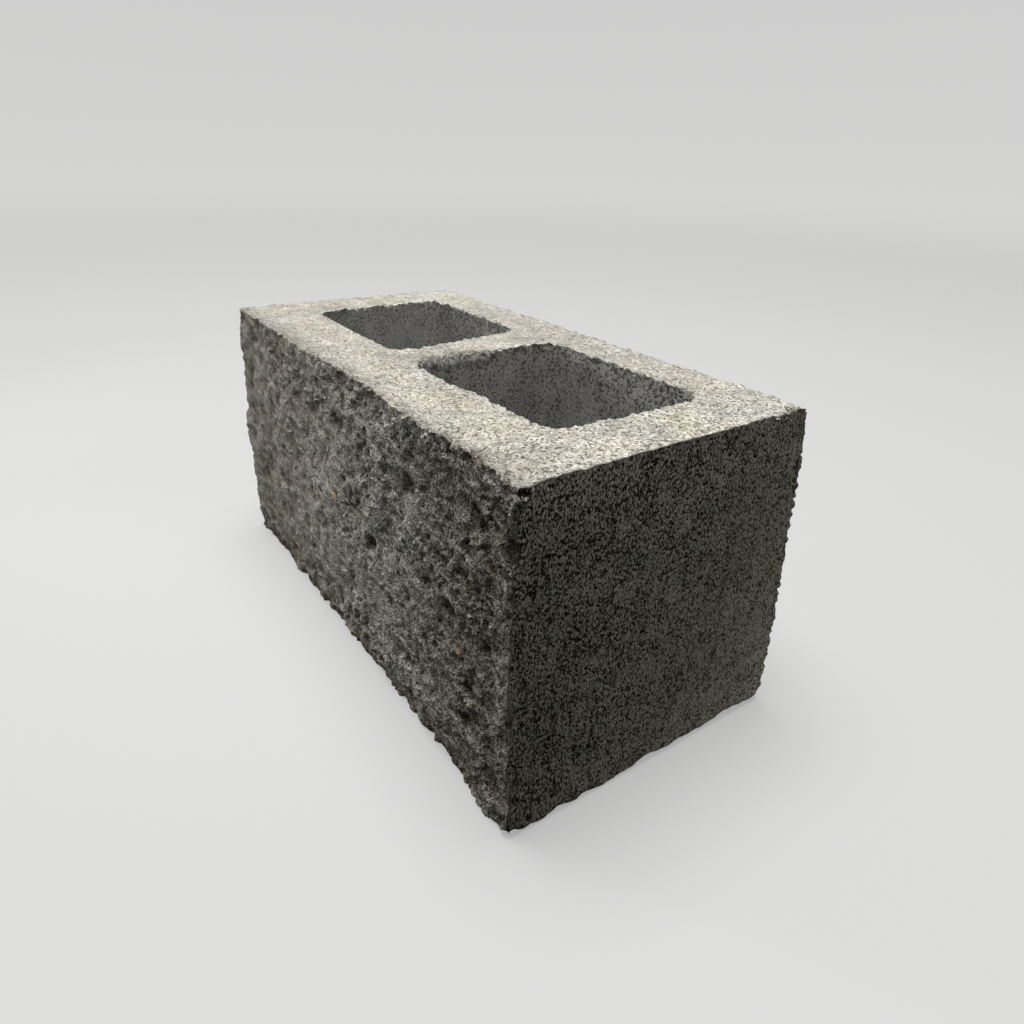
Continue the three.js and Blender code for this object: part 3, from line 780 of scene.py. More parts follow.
# a burr of crumbs stands along the back rims
BURR = np.clip(-0.15 + 3.2 * fractal(X, Y, 5.0, 397, 3, 0.8), 0, 2.3) * np.exp(-(rim_gap / 1.9) ** 2) * smooth((-0.15 - into[:, 1]) / 0.6)
P[:, 2] += BURR * ((KIND == TOP) | wall)
BARE = smooth(BURR / 0.7)
HANGING = smooth((over_break + 0.9 * gradient_noise(X, Z, 2.4, 99) - DEEP[:, PZ]) / 0.8 + 0.3) * (KIND == FRONT) * (DEEP[:, PZ] < 6)

# the bed rounds down towards the near end, and most of all at its front corner
SINK = 0.45 * smooth((40 - Y) / 30) + 0.6 * smooth((-20 - Y) / 40) + 1.4 * smooth((-76 - Y) / 12)
P[:, 2] -= SINK * np.exp(-(DEEP[:, PX] / 12) ** 2 - (DEEP[:, PZ] / 12) ** 2)

# the front rim of the near core is broken back along its web half
BACK_OFF = 3.5 * smooth((92 - X) / 24) * smooth((X - 2) / 9) * (1 + 0.25 * gradient_noise(X, X * 0 + 2.2, 7.0, 293))
P[:, 1] -= BACK_OFF * np.exp(-((Y + 45) / 8) ** 2 - (DEEP[:, PZ] / 9) ** 2)

# ---------------------------------------------------------------- chips
def bite(centre, size, towards, roughness=0.35, seed=601):
    """A sphere knocks a hollow: what lies inside it is driven along a direction to its far side."""
    c, m = np.asarray(centre, float), np.asarray(towards, float)
    m = m / np.linalg.norm(m)
    near = np.flatnonzero(np.linalg.norm(P - c, axis=1) < size * 1.6)
    rel = P[near] - c
    s = size * (1 + roughness * fractal(rel @ [1, .3, .2] + rel @ [0, .2, .9], rel @ [.1, 1, -.4], size * 0.7, seed, 2))
    b = rel @ m
    cc = (rel ** 2).sum(1) - s * s
    hit = cc < 0
    t = -b + np.sqrt(np.clip(b * b - cc, 0, None))
    P[near[hit]] += m * t[hit][:, None]
    WEAR[near[hit]] = 1.0
    return near[hit]


BITES = [
    # the notch just below the near top corner and the loose lip under it
    ((199.3, -91.4, 188.9), 2.4, (-1, 0.3, 0.05)),
    ((199.3, -88.6, 188.8), 2.2, (-1, 0.1, 0.05)),
    # foot and corner chips of the near end
    ((200.2, -62.0, -0.6), 5.0, (-1, 0, 0.35)),
    ((200.5, 0.5, -0.8), 5.6, (-1, 0, 0.35)),
    ((200.0, 66.0, -0.6), 5.4, (-1, 0, 0.3)),
    ((200.6, 97.5, 0.5), 6.6, (-1, -0.8, 0.6)),
    # crumbs off the far top corners
    ((-199.5, 97.5, 194.2), 4.2, (0.7, -0.8, -0.5)),
    ((-202.0, -97.5, 197.0), 7.8, (0.7, 0.7, -0.5)),
    ((199.6, 97.6, 194.4), 3.2, (-0.7, -0.8, -0.5)),
]
LUMP = np.exp(-(np.linalg.norm(P - [198.2, -94.0, 186.6], axis=1) / 2.2) ** 2)
LUMP2 = np.exp(-(np.linalg.norm(P - [198.2, -89.0, 185.6], axis=1) / 1.5) ** 2)
P += LUMP[:, None] * [1.6, -0.8, 0.3] + LUMP2[:, None] * [1.4, -0.2, 0.2]
for k, (c, r, m) in enumerate(BITES):
    hit = bite(c, r, m, seed=601 + 5 * k)
    if k < 2:
        NOTCH = hit if k == 0 else np.union1d(NOTCH, hit)

P[:, 2] = np.where(P[:, 2] < 0, 0.25 * P[:, 2], P[:, 2])
P[:, 2] -= min(P[:, 2].min(), 0)

# ---------------------------------------------------------------- the mesh
me = bpy.data.meshes.new("block_skin")
me.vertices.add(len(P))
me.vertices.foreach_set("co", (P / 1000).astype(np.float32).ravel())
me.loops.add(len(TRI) * 3)
me.loops.foreach_set("vertex_index", TRI.astype(np.int32).ravel())
me.polygons.add(len(TRI))
me.polygons.foreach_set("loop_start", np.arange(0, len(TRI) * 3, 3, dtype=np.int32))
me.polygons.foreach_set("loop_total", np.full(len(TRI), 3, dtype=np.int32))
me.update(calc_edges=True)
me.validate()


def attribute(name, values):
    a = me.attributes.new(name, "FLOAT", "POINT")
    a.data.foreach_set("value", values.astype(np.float32))


broken = fall(DEEP[:, MY]) * (KIND == FRONT) + (KIND != FRONT) * fall(DEEP[:, MY] * 3.4) * skin_of_block
broken = np.maximum(broken, np.clip(1.4 * np.maximum(LUMP, LUMP2), 0, 1))
broken = np.where(KIND == TOP, np.maximum(broken * 0.3, BITTEN), broken * (1 - HANGING))
on_bed = np.where(KIND == TOP, 1 - BITTEN, HANGING)
WEAR = np.where((KIND == FRONT) & (DEEP[:, PZ] < 6), WEAR * 0.3, WEAR)
on_bed = on_bed * (1 - BARE)
on_bed = np.where(wall, np.clip(0.55 - wall_d / 3.2, 0, 1) * (1 - BARE) * (1 - 0.9 * LIP), np.where((KIND == TOP) & (rim_near < 4), np.minimum(on_bed, 0.55 + top_d / 2.6), on_bed))
attribute("broken", broken)
attribute("bed", on_bed)
WEAR[NOTCH] = 0
WEAR = np.where(wall, 0.4 * WEAR, WEAR)
attribute("wear", WEAR)
attribute("inside", wall.astype(float))
pit = np.where(KIND == NEAR_END, PIT_NEAR, np.where(KIND == FAR_END, PIT_FAR, np.where(KIND == BACK, PIT_REAR, 0)))
# painted shadow: pits are laid dark down the torn strip beside the near arris
pit = np.maximum(pit, 0.35 * STRIP)
# painted shade: the walls of the cores are darkened just under the rim, against the light that falls there from above
rim_painted_shade = np.exp(-(np.clip(wall_d, 0, None) / 13) ** 2) * np.clip(0.75 + 0.7 * gradient_noise(CORE[:, 0], Z, 8, 299), 0, 1.3)
pit = np.where(wall, rim_painted_shade, pit)
# painted shade in the notch under the near top corner
pit[NOTCH] = 0.6
attribute("pit", pit)
# how far the break stands out from the ground round about: the material paints shade into the hollows and a little
# light onto the crests
LINKS = np.concatenate([TRI[:, [0, 1]], TRI[:, [1, 2]], TRI[:, [2, 0]]])
level = -P[:, 1].copy()
ground = level.copy()
degree = np.bincount(LINKS.ravel(), minlength=len(P))
for _round in range(40):
    total = np.bincount(LINKS[:, 0], ground[LINKS[:, 1]], len(P)) + np.bincount(LINKS[:, 1], ground[LINKS[:, 0]], len(P))
    ground = np.where(KIND == FRONT, 0.25 * ground + 0.75 * total / degree, np.where(Y < YF + 6, 0.5 * ground + 0.5 * (YK - 2), ground))
crest = (level - ground) * (KIND == FRONT)
print("crest sd", crest[KIND == FRONT].std())
attribute("height", np.clip(crest, -3, 3))



def noise3(points, cell, seed, octaves=2, gain=0.6):
    """Smooth noise in space, about -1 to 1."""
    total, scale, weight = 0.0, 1.0, 0.0
    for k in range(octaves):
        q = points / (cell / 2 ** k) + 17.3 * k
        i = np.floor(q)
        f = q - i
        w = f ** 3 * (f * (f * 6 - 15) + 10)
        value = 0.0
        for a in (0, 1):
            for b in (0, 1):
                for c in (0, 1):
                    share = (w[:, 0] if a else 1 - w[:, 0]) * (w[:, 1] if b else 1 - w[:, 1]) * (w[:, 2] if c else 1 - w[:, 2])
                    n = hashed(i[:, 0] + a + 37 * (i[:, 2] + c), i[:, 1] + b - 53 * (i[:, 2] + c), seed + 3 * k)
                    value = value + share * (n * 2 - 1)
        total = total + scale * value
        weight += scale
        scale *= gain
    return total / weight * 1.4


attribute("run", run_of(X))
attribute("cluster", noise3(P0 * [1, 1, 0.75], 6.5, 811, 3))
# painted light: the walls of the cores are lighter, most those that face the near end and most near the rim
wall_painted_light = smooth(CORE[:, 1]) * ramp(wall_d / 100, 1.0, 0.35)
shade = np.where(KIND == CORE_B, 1.02 + 0.45 * wall_painted_light, np.where(KIND == CORE_A, 1.06 + 0.46 * wall_painted_light, 1.0))
# painted light and shade on the break: lighter and darker along its length for how the light falls across it, and
# lighter in the top few millimetres under the arris, where the bed's overhang shades it
shade = np.where(KIND == FRONT, np.interp(X, [-HX, -100, -40, 20, 80, 130, 167, HX], [0.77, 0.75, 0.87, 0.86, 1.08, 0.82, 0.75, 0.76]) * (1 + 0.55 * np.exp(-(DEEP[:, PZ] / np.interp(X, (50, 120), (7.0, 12.0))) ** 2)), shade)
# painted shade on the core walls at the lip of the centre web
shade = np.where(wall, shade * (1 - 0.45 * LIP), shade)
# painted light: crumbs bitten out along the line of the break are lightened against the shade on their slopes, and the
# bed beside them is darker (in the bed's patches below)
shade = np.where(KIND == TOP, 1 + 0.55 * BITTEN * np.exp(-(DEEP[:, MY] / 7) ** 2), shade)
# painted light and shade on the near end: darker low down and towards the back, lighter towards its top, and lighter
# along the top arris at the back, where its crumbs catch the light
shade = np.where(KIND == NEAR_END, np.interp(Z, [20, 55, 85, 150, 180], [0.89, 0.84, 0.91, 1.08, 1.26]) * ramp((Y + 30) / 85, 1.19, 0.95) * (1 + 0.3 * smooth((Y - 20) / 30) * np.exp(-(DEEP[:, PZ] / 5.5) ** 2)), shade)
# random tone times the painted light and shade above
attribute("broad_tone_and_painted_light", (1.0 + 0.10 * noise3(P0, 26.0, 821) + wall * 0.16 * noise3(P0, 7.0, 825, 3, 0.8)) * shade)
attribute("warmth", np.clip(0.5 + 0.6 * noise3(P0, 20.0, 831, 3, 0.7), 0, 1))
# painted light and shade on the bed: soft lighter and darker patches, painted shade at the lip of the centre web,
# darker along the line of the break, lighter towards the near end and a little darker towards the back; the noise is
# random tone
bed_painted_light_patches = np.ones(len(P))
for cx, cy, rx, ry, gain in ((173, -84, 25, 13, -0.22), (-70, -85, 58, 12, -0.15), (80, -76, 28, 18, 0.08), (-168, 78, 34, 26, 0.28), (-100, 90, 24, 9, 0.12), (-10, 74, 50, 22, -0.09), (140, 86, 40, 14, 0.06), (-2, -22, 13, 28, -0.20)):
    bed_painted_light_patches *= 1 + gain * np.exp(-((X - cx) / rx) ** 2 - ((Y - cy) / ry) ** 2)
bed_painted_light_patches *= 1 - 0.3 * np.exp(-(DEEP[:, MY] / 6.5) ** 2)
attribute("bed_tone_and_painted_light", bed_painted_light_patches * (1.0 + ramp((X + HX) / LENGTH, 0.26, 0.17) * noise3(P0, 11.0, 851, 2, 0.8)) * ramp((X + HX) / LENGTH, 0.96, 1.145) * ramp((Y - 40) / 50, 1.0, 0.94))
# the grain is blunter towards the far end
attribute("crisp", np.where(KIND == FRONT, ramp((X + HX) / LENGTH, 0.45, 1.24), ramp((X + HX) / 260, 0.48, 1.0)) * np.where(KIND == NEAR_END, ramp((Y + 50 - 0.6 * (Z - 100)) / 150, 1.09, 0.81), np.where(KIND == BACK, ramp((X + HX) / LENGTH, 1.0, 0.62), 1.0)))
# the bed is laitance at the far end and opens towards the near one
attribute("open", ramp((X + HX + 0.3 * (YK - Y)) / LENGTH, 0.42, 1.0))
tan = np.zeros(len(P))
for cx, cy, rx, ry in ((-97, -63, 28, 11), (114, -66, 30, 15), (180, 18, 13, 12), (48, -72, 16, 9), (-170, -20, 16, 34), (10, -66, 30, 7)):
    tan = np.maximum(tan, np.exp(-((X - cx) / rx) ** 2 - ((Y - cy) / ry) ** 2))
attribute("stain", tan * (KIND == TOP) * smooth(0.55 + 0.9 * noise3(P0, 9.0, 841)))
# every face of the block has a place of its own on a square sheet, the ones most seen at the largest scale
if len(me.loops) != 3 * len(TRI):
    raise RuntimeError("the mesh lost a triangle")
SHEET, GAP = 1024, 8
in_x, in_y, in_z = X + HX, Y - YF, Z
big, rear, under = 1.62, 1.33, 0.55
widest = max(core.length for core, *_r in cores)
hollow = min(0.93, (SHEET - 3 * GAP - rear * LENGTH) / widest)
third = 3 * GAP + 2 * big * HEIGHT
layout = [
    # place across, place up, scale, left, foot
    (in_x, in_z, big, GAP, GAP),
    (in_x, in_z, rear, 2 * GAP + hollow * widest, third),
    (in_y, in_z, big, 2 * GAP + big * LENGTH, GAP),
    (in_y, in_z, big, 2 * GAP + big * LENGTH, 2 * GAP + big * HEIGHT),
    (CORE[:, 0], in_z, hollow, GAP, third),
    (CORE[:, 0], in_z, hollow, GAP, third + GAP + hollow * HEIGHT),
    (in_x, in_y, big, GAP, 2 * GAP + big * HEIGHT),
    (in_x, in_y, under, 2 * GAP + hollow * widest, third + GAP + rear * HEIGHT),
]
sheet = []
for number, (tri, (across, up, scale, left, foot)) in enumerate(zip(faces, layout)):
    u, v = across[tri], up[tri]
    if number in (4, 5):                  # round the seam
        length = cores[number - 4][0].length
        u = np.where((u.max(1) - u.min(1) > length / 2)[:, None] & (u < length / 2), u + length, u)
    sheet.append(np.stack([left + scale * u, foot + scale * v], 2).reshape(-1, 2) / SHEET)
sheet = np.concatenate(sheet)
print("sheet", sheet.min(0), sheet.max(0))
me.uv_layers.new(name="OFBake", do_init=False).uv.foreach_set("vector", sheet.astype(np.float32).ravel())
me.polygons.foreach_set("use_smooth", np.ones(len(TRI), dtype=bool))
me.set_sharp_from_angle(angle=math.radians(42))
block = bpy.data.objects.new("block_surface", me)
bpy.context.scene.collection.objects.link(block)


# ---------------------------------------------------------------- the concrete
class Graph:
    """Short words for building a node material."""

    def __init__(self, name):
        self.material = bpy.data.materials.new(name)
        self.material.use_nodes = True
        self.tree = self.material.node_tree
        self.tree.nodes.clear()

    def node(self, kind, inputs=None, **settings):
        n = self.tree.nodes.new(kind)
        for key, value in settings.items():
            setattr(n, key, value)
        for key, value in (inputs or {}).items():
            self.put(n, key, value)
        return n

    def put(self, n, key, value):
        socket = n.inputs[key]
        if isinstance(value, bpy.types.NodeSocket):
            self.tree.links.new(value, socket)
        else:
            socket.default_value = value

    def math(self, operation, a, b=None, c=None, clamp=False):
        n = self.node("ShaderNodeMath", operation=operation, use_clamp=clamp)
        for k, value in enumerate((a, b, c)):
            if value is not None:
                self.put(n, k, value)
        return n.outputs[0]

    def add(self, a, b): return self.math("ADD", a, b)
    def sub(self, a, b): return self.math("SUBTRACT", a, b)
    def mul(self, a, b): return self.math("MULTIPLY", a, b)
    def most(self, a, b): return self.math("MAXIMUM", a, b)
    def least(self, a, b): return self.math("MINIMUM", a, b)

    def step(self, value, low, high, to_low=0.0, to_high=1.0):
        n = self.node("ShaderNodeMapRange", interpolation_type="SMOOTHSTEP", clamp=True)
        for key, v in zip(("Value", "From Min", "From Max", "To Min", "To Max"), (value, low, high, to_low, to_high)):
            self.put(n, key, v)
        return n.outputs[0]

    def scale(self, value, low, high):
        return self.node("ShaderNodeMapRange", {"Value": value, "From Min": low, "From Max": high}, clamp=True).outputs[0]

    def scale2(self, value, low, high, to_low, to_high):
        n = self.node("ShaderNodeMapRange", clamp=True)
        for key, v in zip(("Value", "From Min", "From Max", "To Min", "To Max"), (value, low, high, to_low, to_high)):
            self.put(n, key, v)
        return n.outputs[0]

    def mix(self, a, b, t):
        n = self.node("ShaderNodeMix", data_type="FLOAT")
        self.put(n, 0, t), self.put(n, 2, a), self.put(n, 3, b)
        return n.outputs[0]

    def blend(self, a, b, t, kind="MIX"):
        n = self.node("ShaderNodeMix", data_type="RGBA", blend_type=kind)
        self.put(n, 0, t), self.put(n, 6, a), self.put(n, 7, b)
        return n.outputs[2]

    def vector(self, operation, a, b=None, scale=None):
        n = self.node("ShaderNodeVectorMath", operation=operation)
        self.put(n, 0, a)
        if b is not None:
            self.put(n, 1, b)
        if scale is not None:
            self.put(n, "Scale", scale)
        return n.outputs[0]

    def noise(self, where, cell, detail=2.0, rough=0.5, lacunarity=2.0, distortion=0.0):
        n = self.node("ShaderNodeTexNoise", {"Vector": where, "Scale": 1 / cell, "Detail": detail, "Roughness": rough,
                                             "Lacunarity": lacunarity, "Distortion": distortion}, noise_dimensions="3D")
        return n.outputs["Fac"]

    def cells(self, where, cell, feature="F1", randomness=1.0):
        n = self.node("ShaderNodeTexVoronoi", {"Vector": where, "Scale": 1 / cell, "Randomness": randomness}, feature=feature)
        return n.outputs["Distance"], n.outputs["Color"] if feature != "DISTANCE_TO_EDGE" else None

    def read(self, name):
        return self.node("ShaderNodeAttribute", attribute_name=name).outputs["Fac"]


def concrete():
    g = Graph("concrete")
    out = g.node("ShaderNodeOutputMaterial")
    shader = g.node("ShaderNodeBsdfPrincipled", {"Roughness": 0.92, "IOR": 1.45, "Specular IOR Level": 0.08})
    g.tree.links.new(shader.outputs[0], out.inputs[0])
    place = g.node("ShaderNodeTexCoord").outputs["Object"]
    mm = g.vector("SCALE", place, scale=1000.0)
    apart = g.node("ShaderNodeSeparateXYZ", {0: mm})
    mm = g.node("ShaderNodeCombineXYZ", {0: g.read("run"), 1: apart.outputs[1], 2: apart.outputs[2]}).outputs[0]
    broken, on_bed, wear, inside, pit, height = (g.read(n) for n in ("broken", "bed", "wear", "inside", "pit", "height"))
    cluster, broad_tone_and_painted_light, warmth, stain, bed_tone_and_painted_light, open_bed = (g.read(n) for n in ("cluster", "broad_tone_and_painted_light", "warmth", "stain", "bed_tone_and_painted_light", "open"))
    crisp = g.read("crisp")
    # bend the lookup so that no stone has straight sides
    swirl = g.node("ShaderNodeTexNoise", {"Vector": mm, "Scale": 0.6, "Detail": 1.0}).outputs["Color"]
    swirl = g.vector("SUBTRACT", swirl, (0.5, 0.5, 0.5))
    bent = g.vector("ADD", mm, g.vector("SCALE", swirl, scale=1.2))
    n1 = g.noise(bent, 3.7, 1.0, 0.5)
    n2 = g.noise(bent, 1.75, 1.0, 0.5)
    # one surface gives way to the next along the sides of the stones
    uneven = g.mul(g.sub(n2, 0.5), 0.9)
    broken = g.step(g.add(broken, uneven), 0.38, 0.62)
    on_bed = g.step(g.add(on_bed, uneven), 0.38, 0.62)
    moulded = g.math("MULTIPLY", g.sub(1.0, g.most(broken, on_bed)), g.sub(1.0, g.mul(wear, 0.8)), clamp=True)
    skin = g.mul(moulded, g.sub(1.0, inside))
    rough_face = g.most(broken, g.mul(wear, 0.8))

    # moulded faces are dragged upright
    level_scale = g.mix(1.0, 0.98, skin)
    stretch = g.node("ShaderNodeCombineXYZ", {0: level_scale, 1: level_scale, 2: g.mix(1.0, 0.53, skin)}).outputs[0]
    drawn = g.vector("MULTIPLY", bent, stretch)

    grit = g.noise(drawn, 0.90, 2.0, 0.75)
    streak = g.noise(g.vector("MULTIPLY", bent, (1.0, 1.0, 0.10)), 1.0, 1.0, 0.6)
    fold1 = g.math("ABSOLUTE", g.sub(n1, 0.5))
    fold2 = g.math("ABSOLUTE", g.sub(n2, 0.5))

    # the crevices that wind between the crumbs of the break, painted dark below as the shade inside them
    crevice1 = g.step(fold1, 0.055, 0.010)
    crevice2 = g.mul(g.step(fold2, 0.065, 0.010), 0.40)
    crevice3 = g.step(grit, 0.51, 0.40)
    crevice = g.mul(g.most(g.most(g.mul(crevice1, 0.40), crevice2), crevice3), crisp)
    raw = g.mul(g.add(g.add(g.mul(fold1, 0.7), g.mul(n2, 0.9)), g.mul(grit, 1.25)), crisp)
    torn = g.add(g.add(g.mul(n1, 0.55), g.mul(n2, 0.35)), g.mul(grit, 0.10))

    # pits of many sizes, in clusters
    drag = g.mul(g.sub(streak, 0.5), g.scale2(apart.outputs[2], 30.0, 170.0, 0.42, 0.16))
    gap_skin = g.scale(g.add(g.add(g.add(g.add(grit, drag), g.mul(g.sub(n2, 0.5), 0.20)), g.mul(cluster, 0.036)),
                             g.sub(g.mul(pit, 0.12), g.mul(g.sub(1.0, crisp), 0.12))), 0.466, 0.562)
    gap_wide = g.scale(g.add(g.sub(n2, g.mul(cluster, -0.055)), g.mul(pit, 0.08)), 0.600, 0.685)
    gap_skin = g.mul(g.most(gap_skin, gap_wide), g.mix(0.5, 1.0, crisp))
    gap_core = g.step(g.add(g.add(g.mul(n2, 0.6), g.mul(grit, 0.4)), g.add(g.mul(cluster, 0.04), g.mul(pit, 0.035))), 0.50, 0.60)
    gap_bed = g.step(g.add(g.add(g.mul(n2, 0.7), g.mul(grit, 0.3)), g.mul(cluster, 0.05)), 0.525, 0.61)

    # tone
    plain = g.mul(broad_tone_and_painted_light, g.add(0.86, g.mul(n2, 0.28)))
    speck = g.mix(1.0, g.scale2(grit, 0.34, 0.70, 0.46, 1.80), g.mul(crisp, g.most(broken, g.mul(inside, 0.8))))
    plain = g.mul(plain, speck)
    skin_tone = g.add(g.add(1.0, g.mul(g.sub(streak, 0.5), 1.0)), g.mul(g.sub(0.5, grit), 0.6))
    n3 = g.noise(g.vector("MULTIPLY", bent, (1.0, 1.0, 0.52)), 3.1, 1.0, 0.5)
    skin_tone = g.mul(g.add(skin_tone, g.mul(g.sub(n3, 0.5), 0.50)), broad_tone_and_painted_light)
    tone = g.mix(plain, skin_tone, skin)
    bed_light = g.mix(1.0, g.step(g.add(torn, g.mul(cluster, 0.10)), 0.36, 0.60, 0.80, 1.30), open_bed)
    bed_fleck = g.mix(1.0, g.step(grit, 0.32, 0.62, 0.56, 1.34), open_bed)
    tone = g.mul(tone, g.mix(1.0, g.mul(g.mul(bed_light, bed_fleck), bed_tone_and_painted_light), on_bed))
    # painted shade in the hollows of the break, and a little painted light on its crests
    hollow_painted_shade = g.step(height, -1.7, 0.9, 0.36, 1.07)
    tone = g.mul(tone, g.mix(1.0, hollow_painted_shade, broken))
    # painted shade: pits, crevices and the gaps of the skin, bed and core walls are darkened to stand for the shade
    # inside them
    pit_and_crevice_painted_shade = g.mix(g.mix(1.10, 0.03, gap_skin), g.mix(1.09, g.mix(0.72, 0.27, crisp), gap_core), inside)
    pit_and_crevice_painted_shade = g.mix(pit_and_crevice_painted_shade, g.mix(1.0, g.mix(0.60, 0.26, open_bed), gap_bed), on_bed)
    pit_and_crevice_painted_shade = g.mix(pit_and_crevice_painted_shade, g.mix(1.05, 0.09, crevice), broken)
    pit_and_crevice_painted_shade = g.mix(pit_and_crevice_painted_shade, g.mix(0.95, 0.25, crevice), g.mul(wear, 0.8))
    tone = g.mul(tone, pit_and_crevice_painted_shade)

    stone = g.blend((0.413, 0.404, 0.372, 1), (0.431, 0.408, 0.340, 1), g.mix(0.25, warmth, on_bed))
    stone = g.blend(stone, (0.412, 0.408, 0.386, 1), inside)
    stone = g.blend(stone, (0.426, 0.404, 0.345, 1), skin)
    stone = g.blend(stone, (0.43, 0.385, 0.290, 1), g.mul(stain, 0.60))
    # a few stones of other colours lie in the break
    for x, z, size, colour in ((-5.7, 107.0, 3.4, (0.62, 0.46, 0.21, 1)), (151.0, 83.8, 2.5, (0.66, 0.50, 0.26, 1)),
                               (165.6, 64.4, 2.0, (0.60, 0.52, 0.38, 1)), (185.8, 63.0, 1.8, (0.52, 0.42, 0.24, 1)),
                               (191.8, 143.6, 4.2, (0.60, 0.57, 0.51, 1)), (110.0, 140.0, 2.2, (0.56, 0.52, 0.45, 1)),
                               (66.0, 96.0, 2.4, (0.54, 0.50, 0.42, 1)), (-120.0, 60.0, 3.0, (0.56, 0.50, 0.38, 1))):
        gap = g.vector("SUBTRACT", bent, (float(run_of(x)), -93.0, z))
        gap = g.vector("MULTIPLY", gap, (1.0, 0.25, 0.75))
        away = g.node("ShaderNodeVectorMath", {0: gap}, operation="LENGTH").outputs["Value"]
        spot = g.mul(g.step(away, size * 0.62, size * 0.48), broken)
        stone = g.blend(stone, colour, spot)
        tone = g.mix(tone, 1.05, spot)
    tone_colour = g.node("ShaderNodeCombineColor", {0: tone, 1: tone, 2: tone}).outputs[0]
    colour = g.blend(stone, tone_colour, 1.0, "MULTIPLY")
    # what is dark is browner
    deep = g.step(tone, 0.80, 0.08)
    colour = g.blend(colour, g.blend((1.0, 1.0, 1.0, 1), (1.19, 1.0, 0.82, 1), deep), g.sub(1.0, g.mul(g.most(on_bed, inside), 0.8)), "MULTIPLY")
    g.put(shader, "Base Color", colour)

    level = g.sub(g.mul(streak, 0.25), g.mul(gap_skin, 0.7))
    core = g.sub(g.mul(raw, 0.8), g.mul(gap_core, 0.6))
    bed = g.mul(g.sub(g.add(g.mul(raw, 0.45), g.mul(bed_light, 0.5)), g.mul(gap_bed, 0.6)), open_bed)
    bump = g.mix(g.mix(level, core, inside), bed, on_bed)
    bump = g.mix(bump, raw, rough_face)
    b = g.node("ShaderNodeBump", {"Strength": 1.0, "Distance": 0.001, "Height": bump})
    g.put(shader, "Normal", b.outputs[0])
    return g.material


me.materials.append(concrete())

# ---------------------------------------------------------------- the stage
def matte(name, colour):
    g = Graph(name)
    out = g.node("ShaderNodeOutputMaterial")
    shader = g.node("ShaderNodeBsdfDiffuse", {"Color": (*colour, 1)})
    g.tree.links.new(shader.outputs[0], out.inputs[0])
    return g.material


# a wide floor that sweeps up into a backdrop all round, lit evenly a long way out
def paper(name, colour, glow):
    g = Graph(name)
    out = g.node("ShaderNodeOutputMaterial")
    matt = g.node("ShaderNodeBsdfDiffuse", {"Color": (colour, colour, colour, 1)})
    out_from_block = g.node("ShaderNodeVectorMath", {0: g.node("ShaderNodeTexCoord").outputs["Object"]}, operation="LENGTH").outputs["Value"]
    lit = g.node("ShaderNodeEmission", {"Color": (1, 1, 1, 1), "Strength": g.step(out_from_block, 0.9, 5.0, glow, glow + 0.20)})
    both = g.node("ShaderNodeAddShader", {0: matt.outputs[0], 1: lit.outputs[0]})
    g.tree.links.new(both.outputs[0], out.inputs[0])
    return g.material


flat, bend, rise = 4.0, 3.0, 5.0
profile = [(r, 0.0) for r in (0.0, 0.6, 1.4, 2.6, flat)]
profile += [(flat + bend * math.sin(a), bend * (1 - math.cos(a))) for a in np.linspace(0, math.pi / 2, 25)[1:]]
profile += [(flat + bend, rise)]
turns = 128
verts, quads = [(0.0, 0.0, 0.0)], []
for r, z in profile[1:]:
    verts += [(r * math.cos(2 * math.pi * k / turns), r * math.sin(2 * math.pi * k / turns), z) for k in range(turns)]
for k in range(turns):
    quads.append((0, 1 + k, 1 + (k + 1) % turns))
    for j in range(len(profile) - 2):
        a, b = 1 + j * turns, 1 + (j + 1) * turns
        quads.append((a + k, b + k, b + (k + 1) % turns, a + (k + 1) % turns))
floor_mesh = bpy.data.meshes.new("floor")
floor_mesh.from_pydata(verts, [], quads)
floor_mesh.polygons.foreach_set("use_smooth", np.ones(len(quads), dtype=bool))
floor_mesh.materials.append(paper("floor_paper", 0.26, 0.37))
floor = bpy.data.objects.new("floor", floor_mesh)
floor.location.z = -0.0004
bpy.context.scene.collection.objects.link(floor)
floor.visible_diffuse = floor.visible_glossy = floor.visible_shadow = False


def soft_light(name, towards, distance, size, energy, colour=(1, 1, 1), aim=(0, 0, 0.1)):
    """A round area light, seen from the aim in the direction given, facing it."""
    data = bpy.data.lights.new(name, "AREA")
    data.shape, data.size, data.energy, data.color = "DISK", size, energy, colour
    o = bpy.data.objects.new(name, data)
    d = Vector(towards).normalized()
    o.location = Vector(aim) + d * distance
    o.rotation_euler = (-d).to_track_quat("-Z", "Y").to_euler()
    o.visible_camera = False
    bpy.context.scene.collection.objects.link(o)
    return o


def pool_light(name, place, aim, angle, blend, radius, energy):
    """A soft round pool of light."""
    data = bpy.data.lights.new(name, "SPOT")
    data.spot_size, data.spot_blend, data.shadow_soft_size, data.energy = math.radians(angle), blend, radius, energy
    o = bpy.data.objects.new(name, data)
    o.location = place
    o.rotation_euler = (Vector(aim) - Vector(place)).to_track_quat("-Z", "Y").to_euler()
    bpy.context.scene.collection.objects.link(o)
    return o


def off_floor(light):
    """Shades the floor from a light that stands close to it."""
    light.light_linking.receiver_collection = block_only


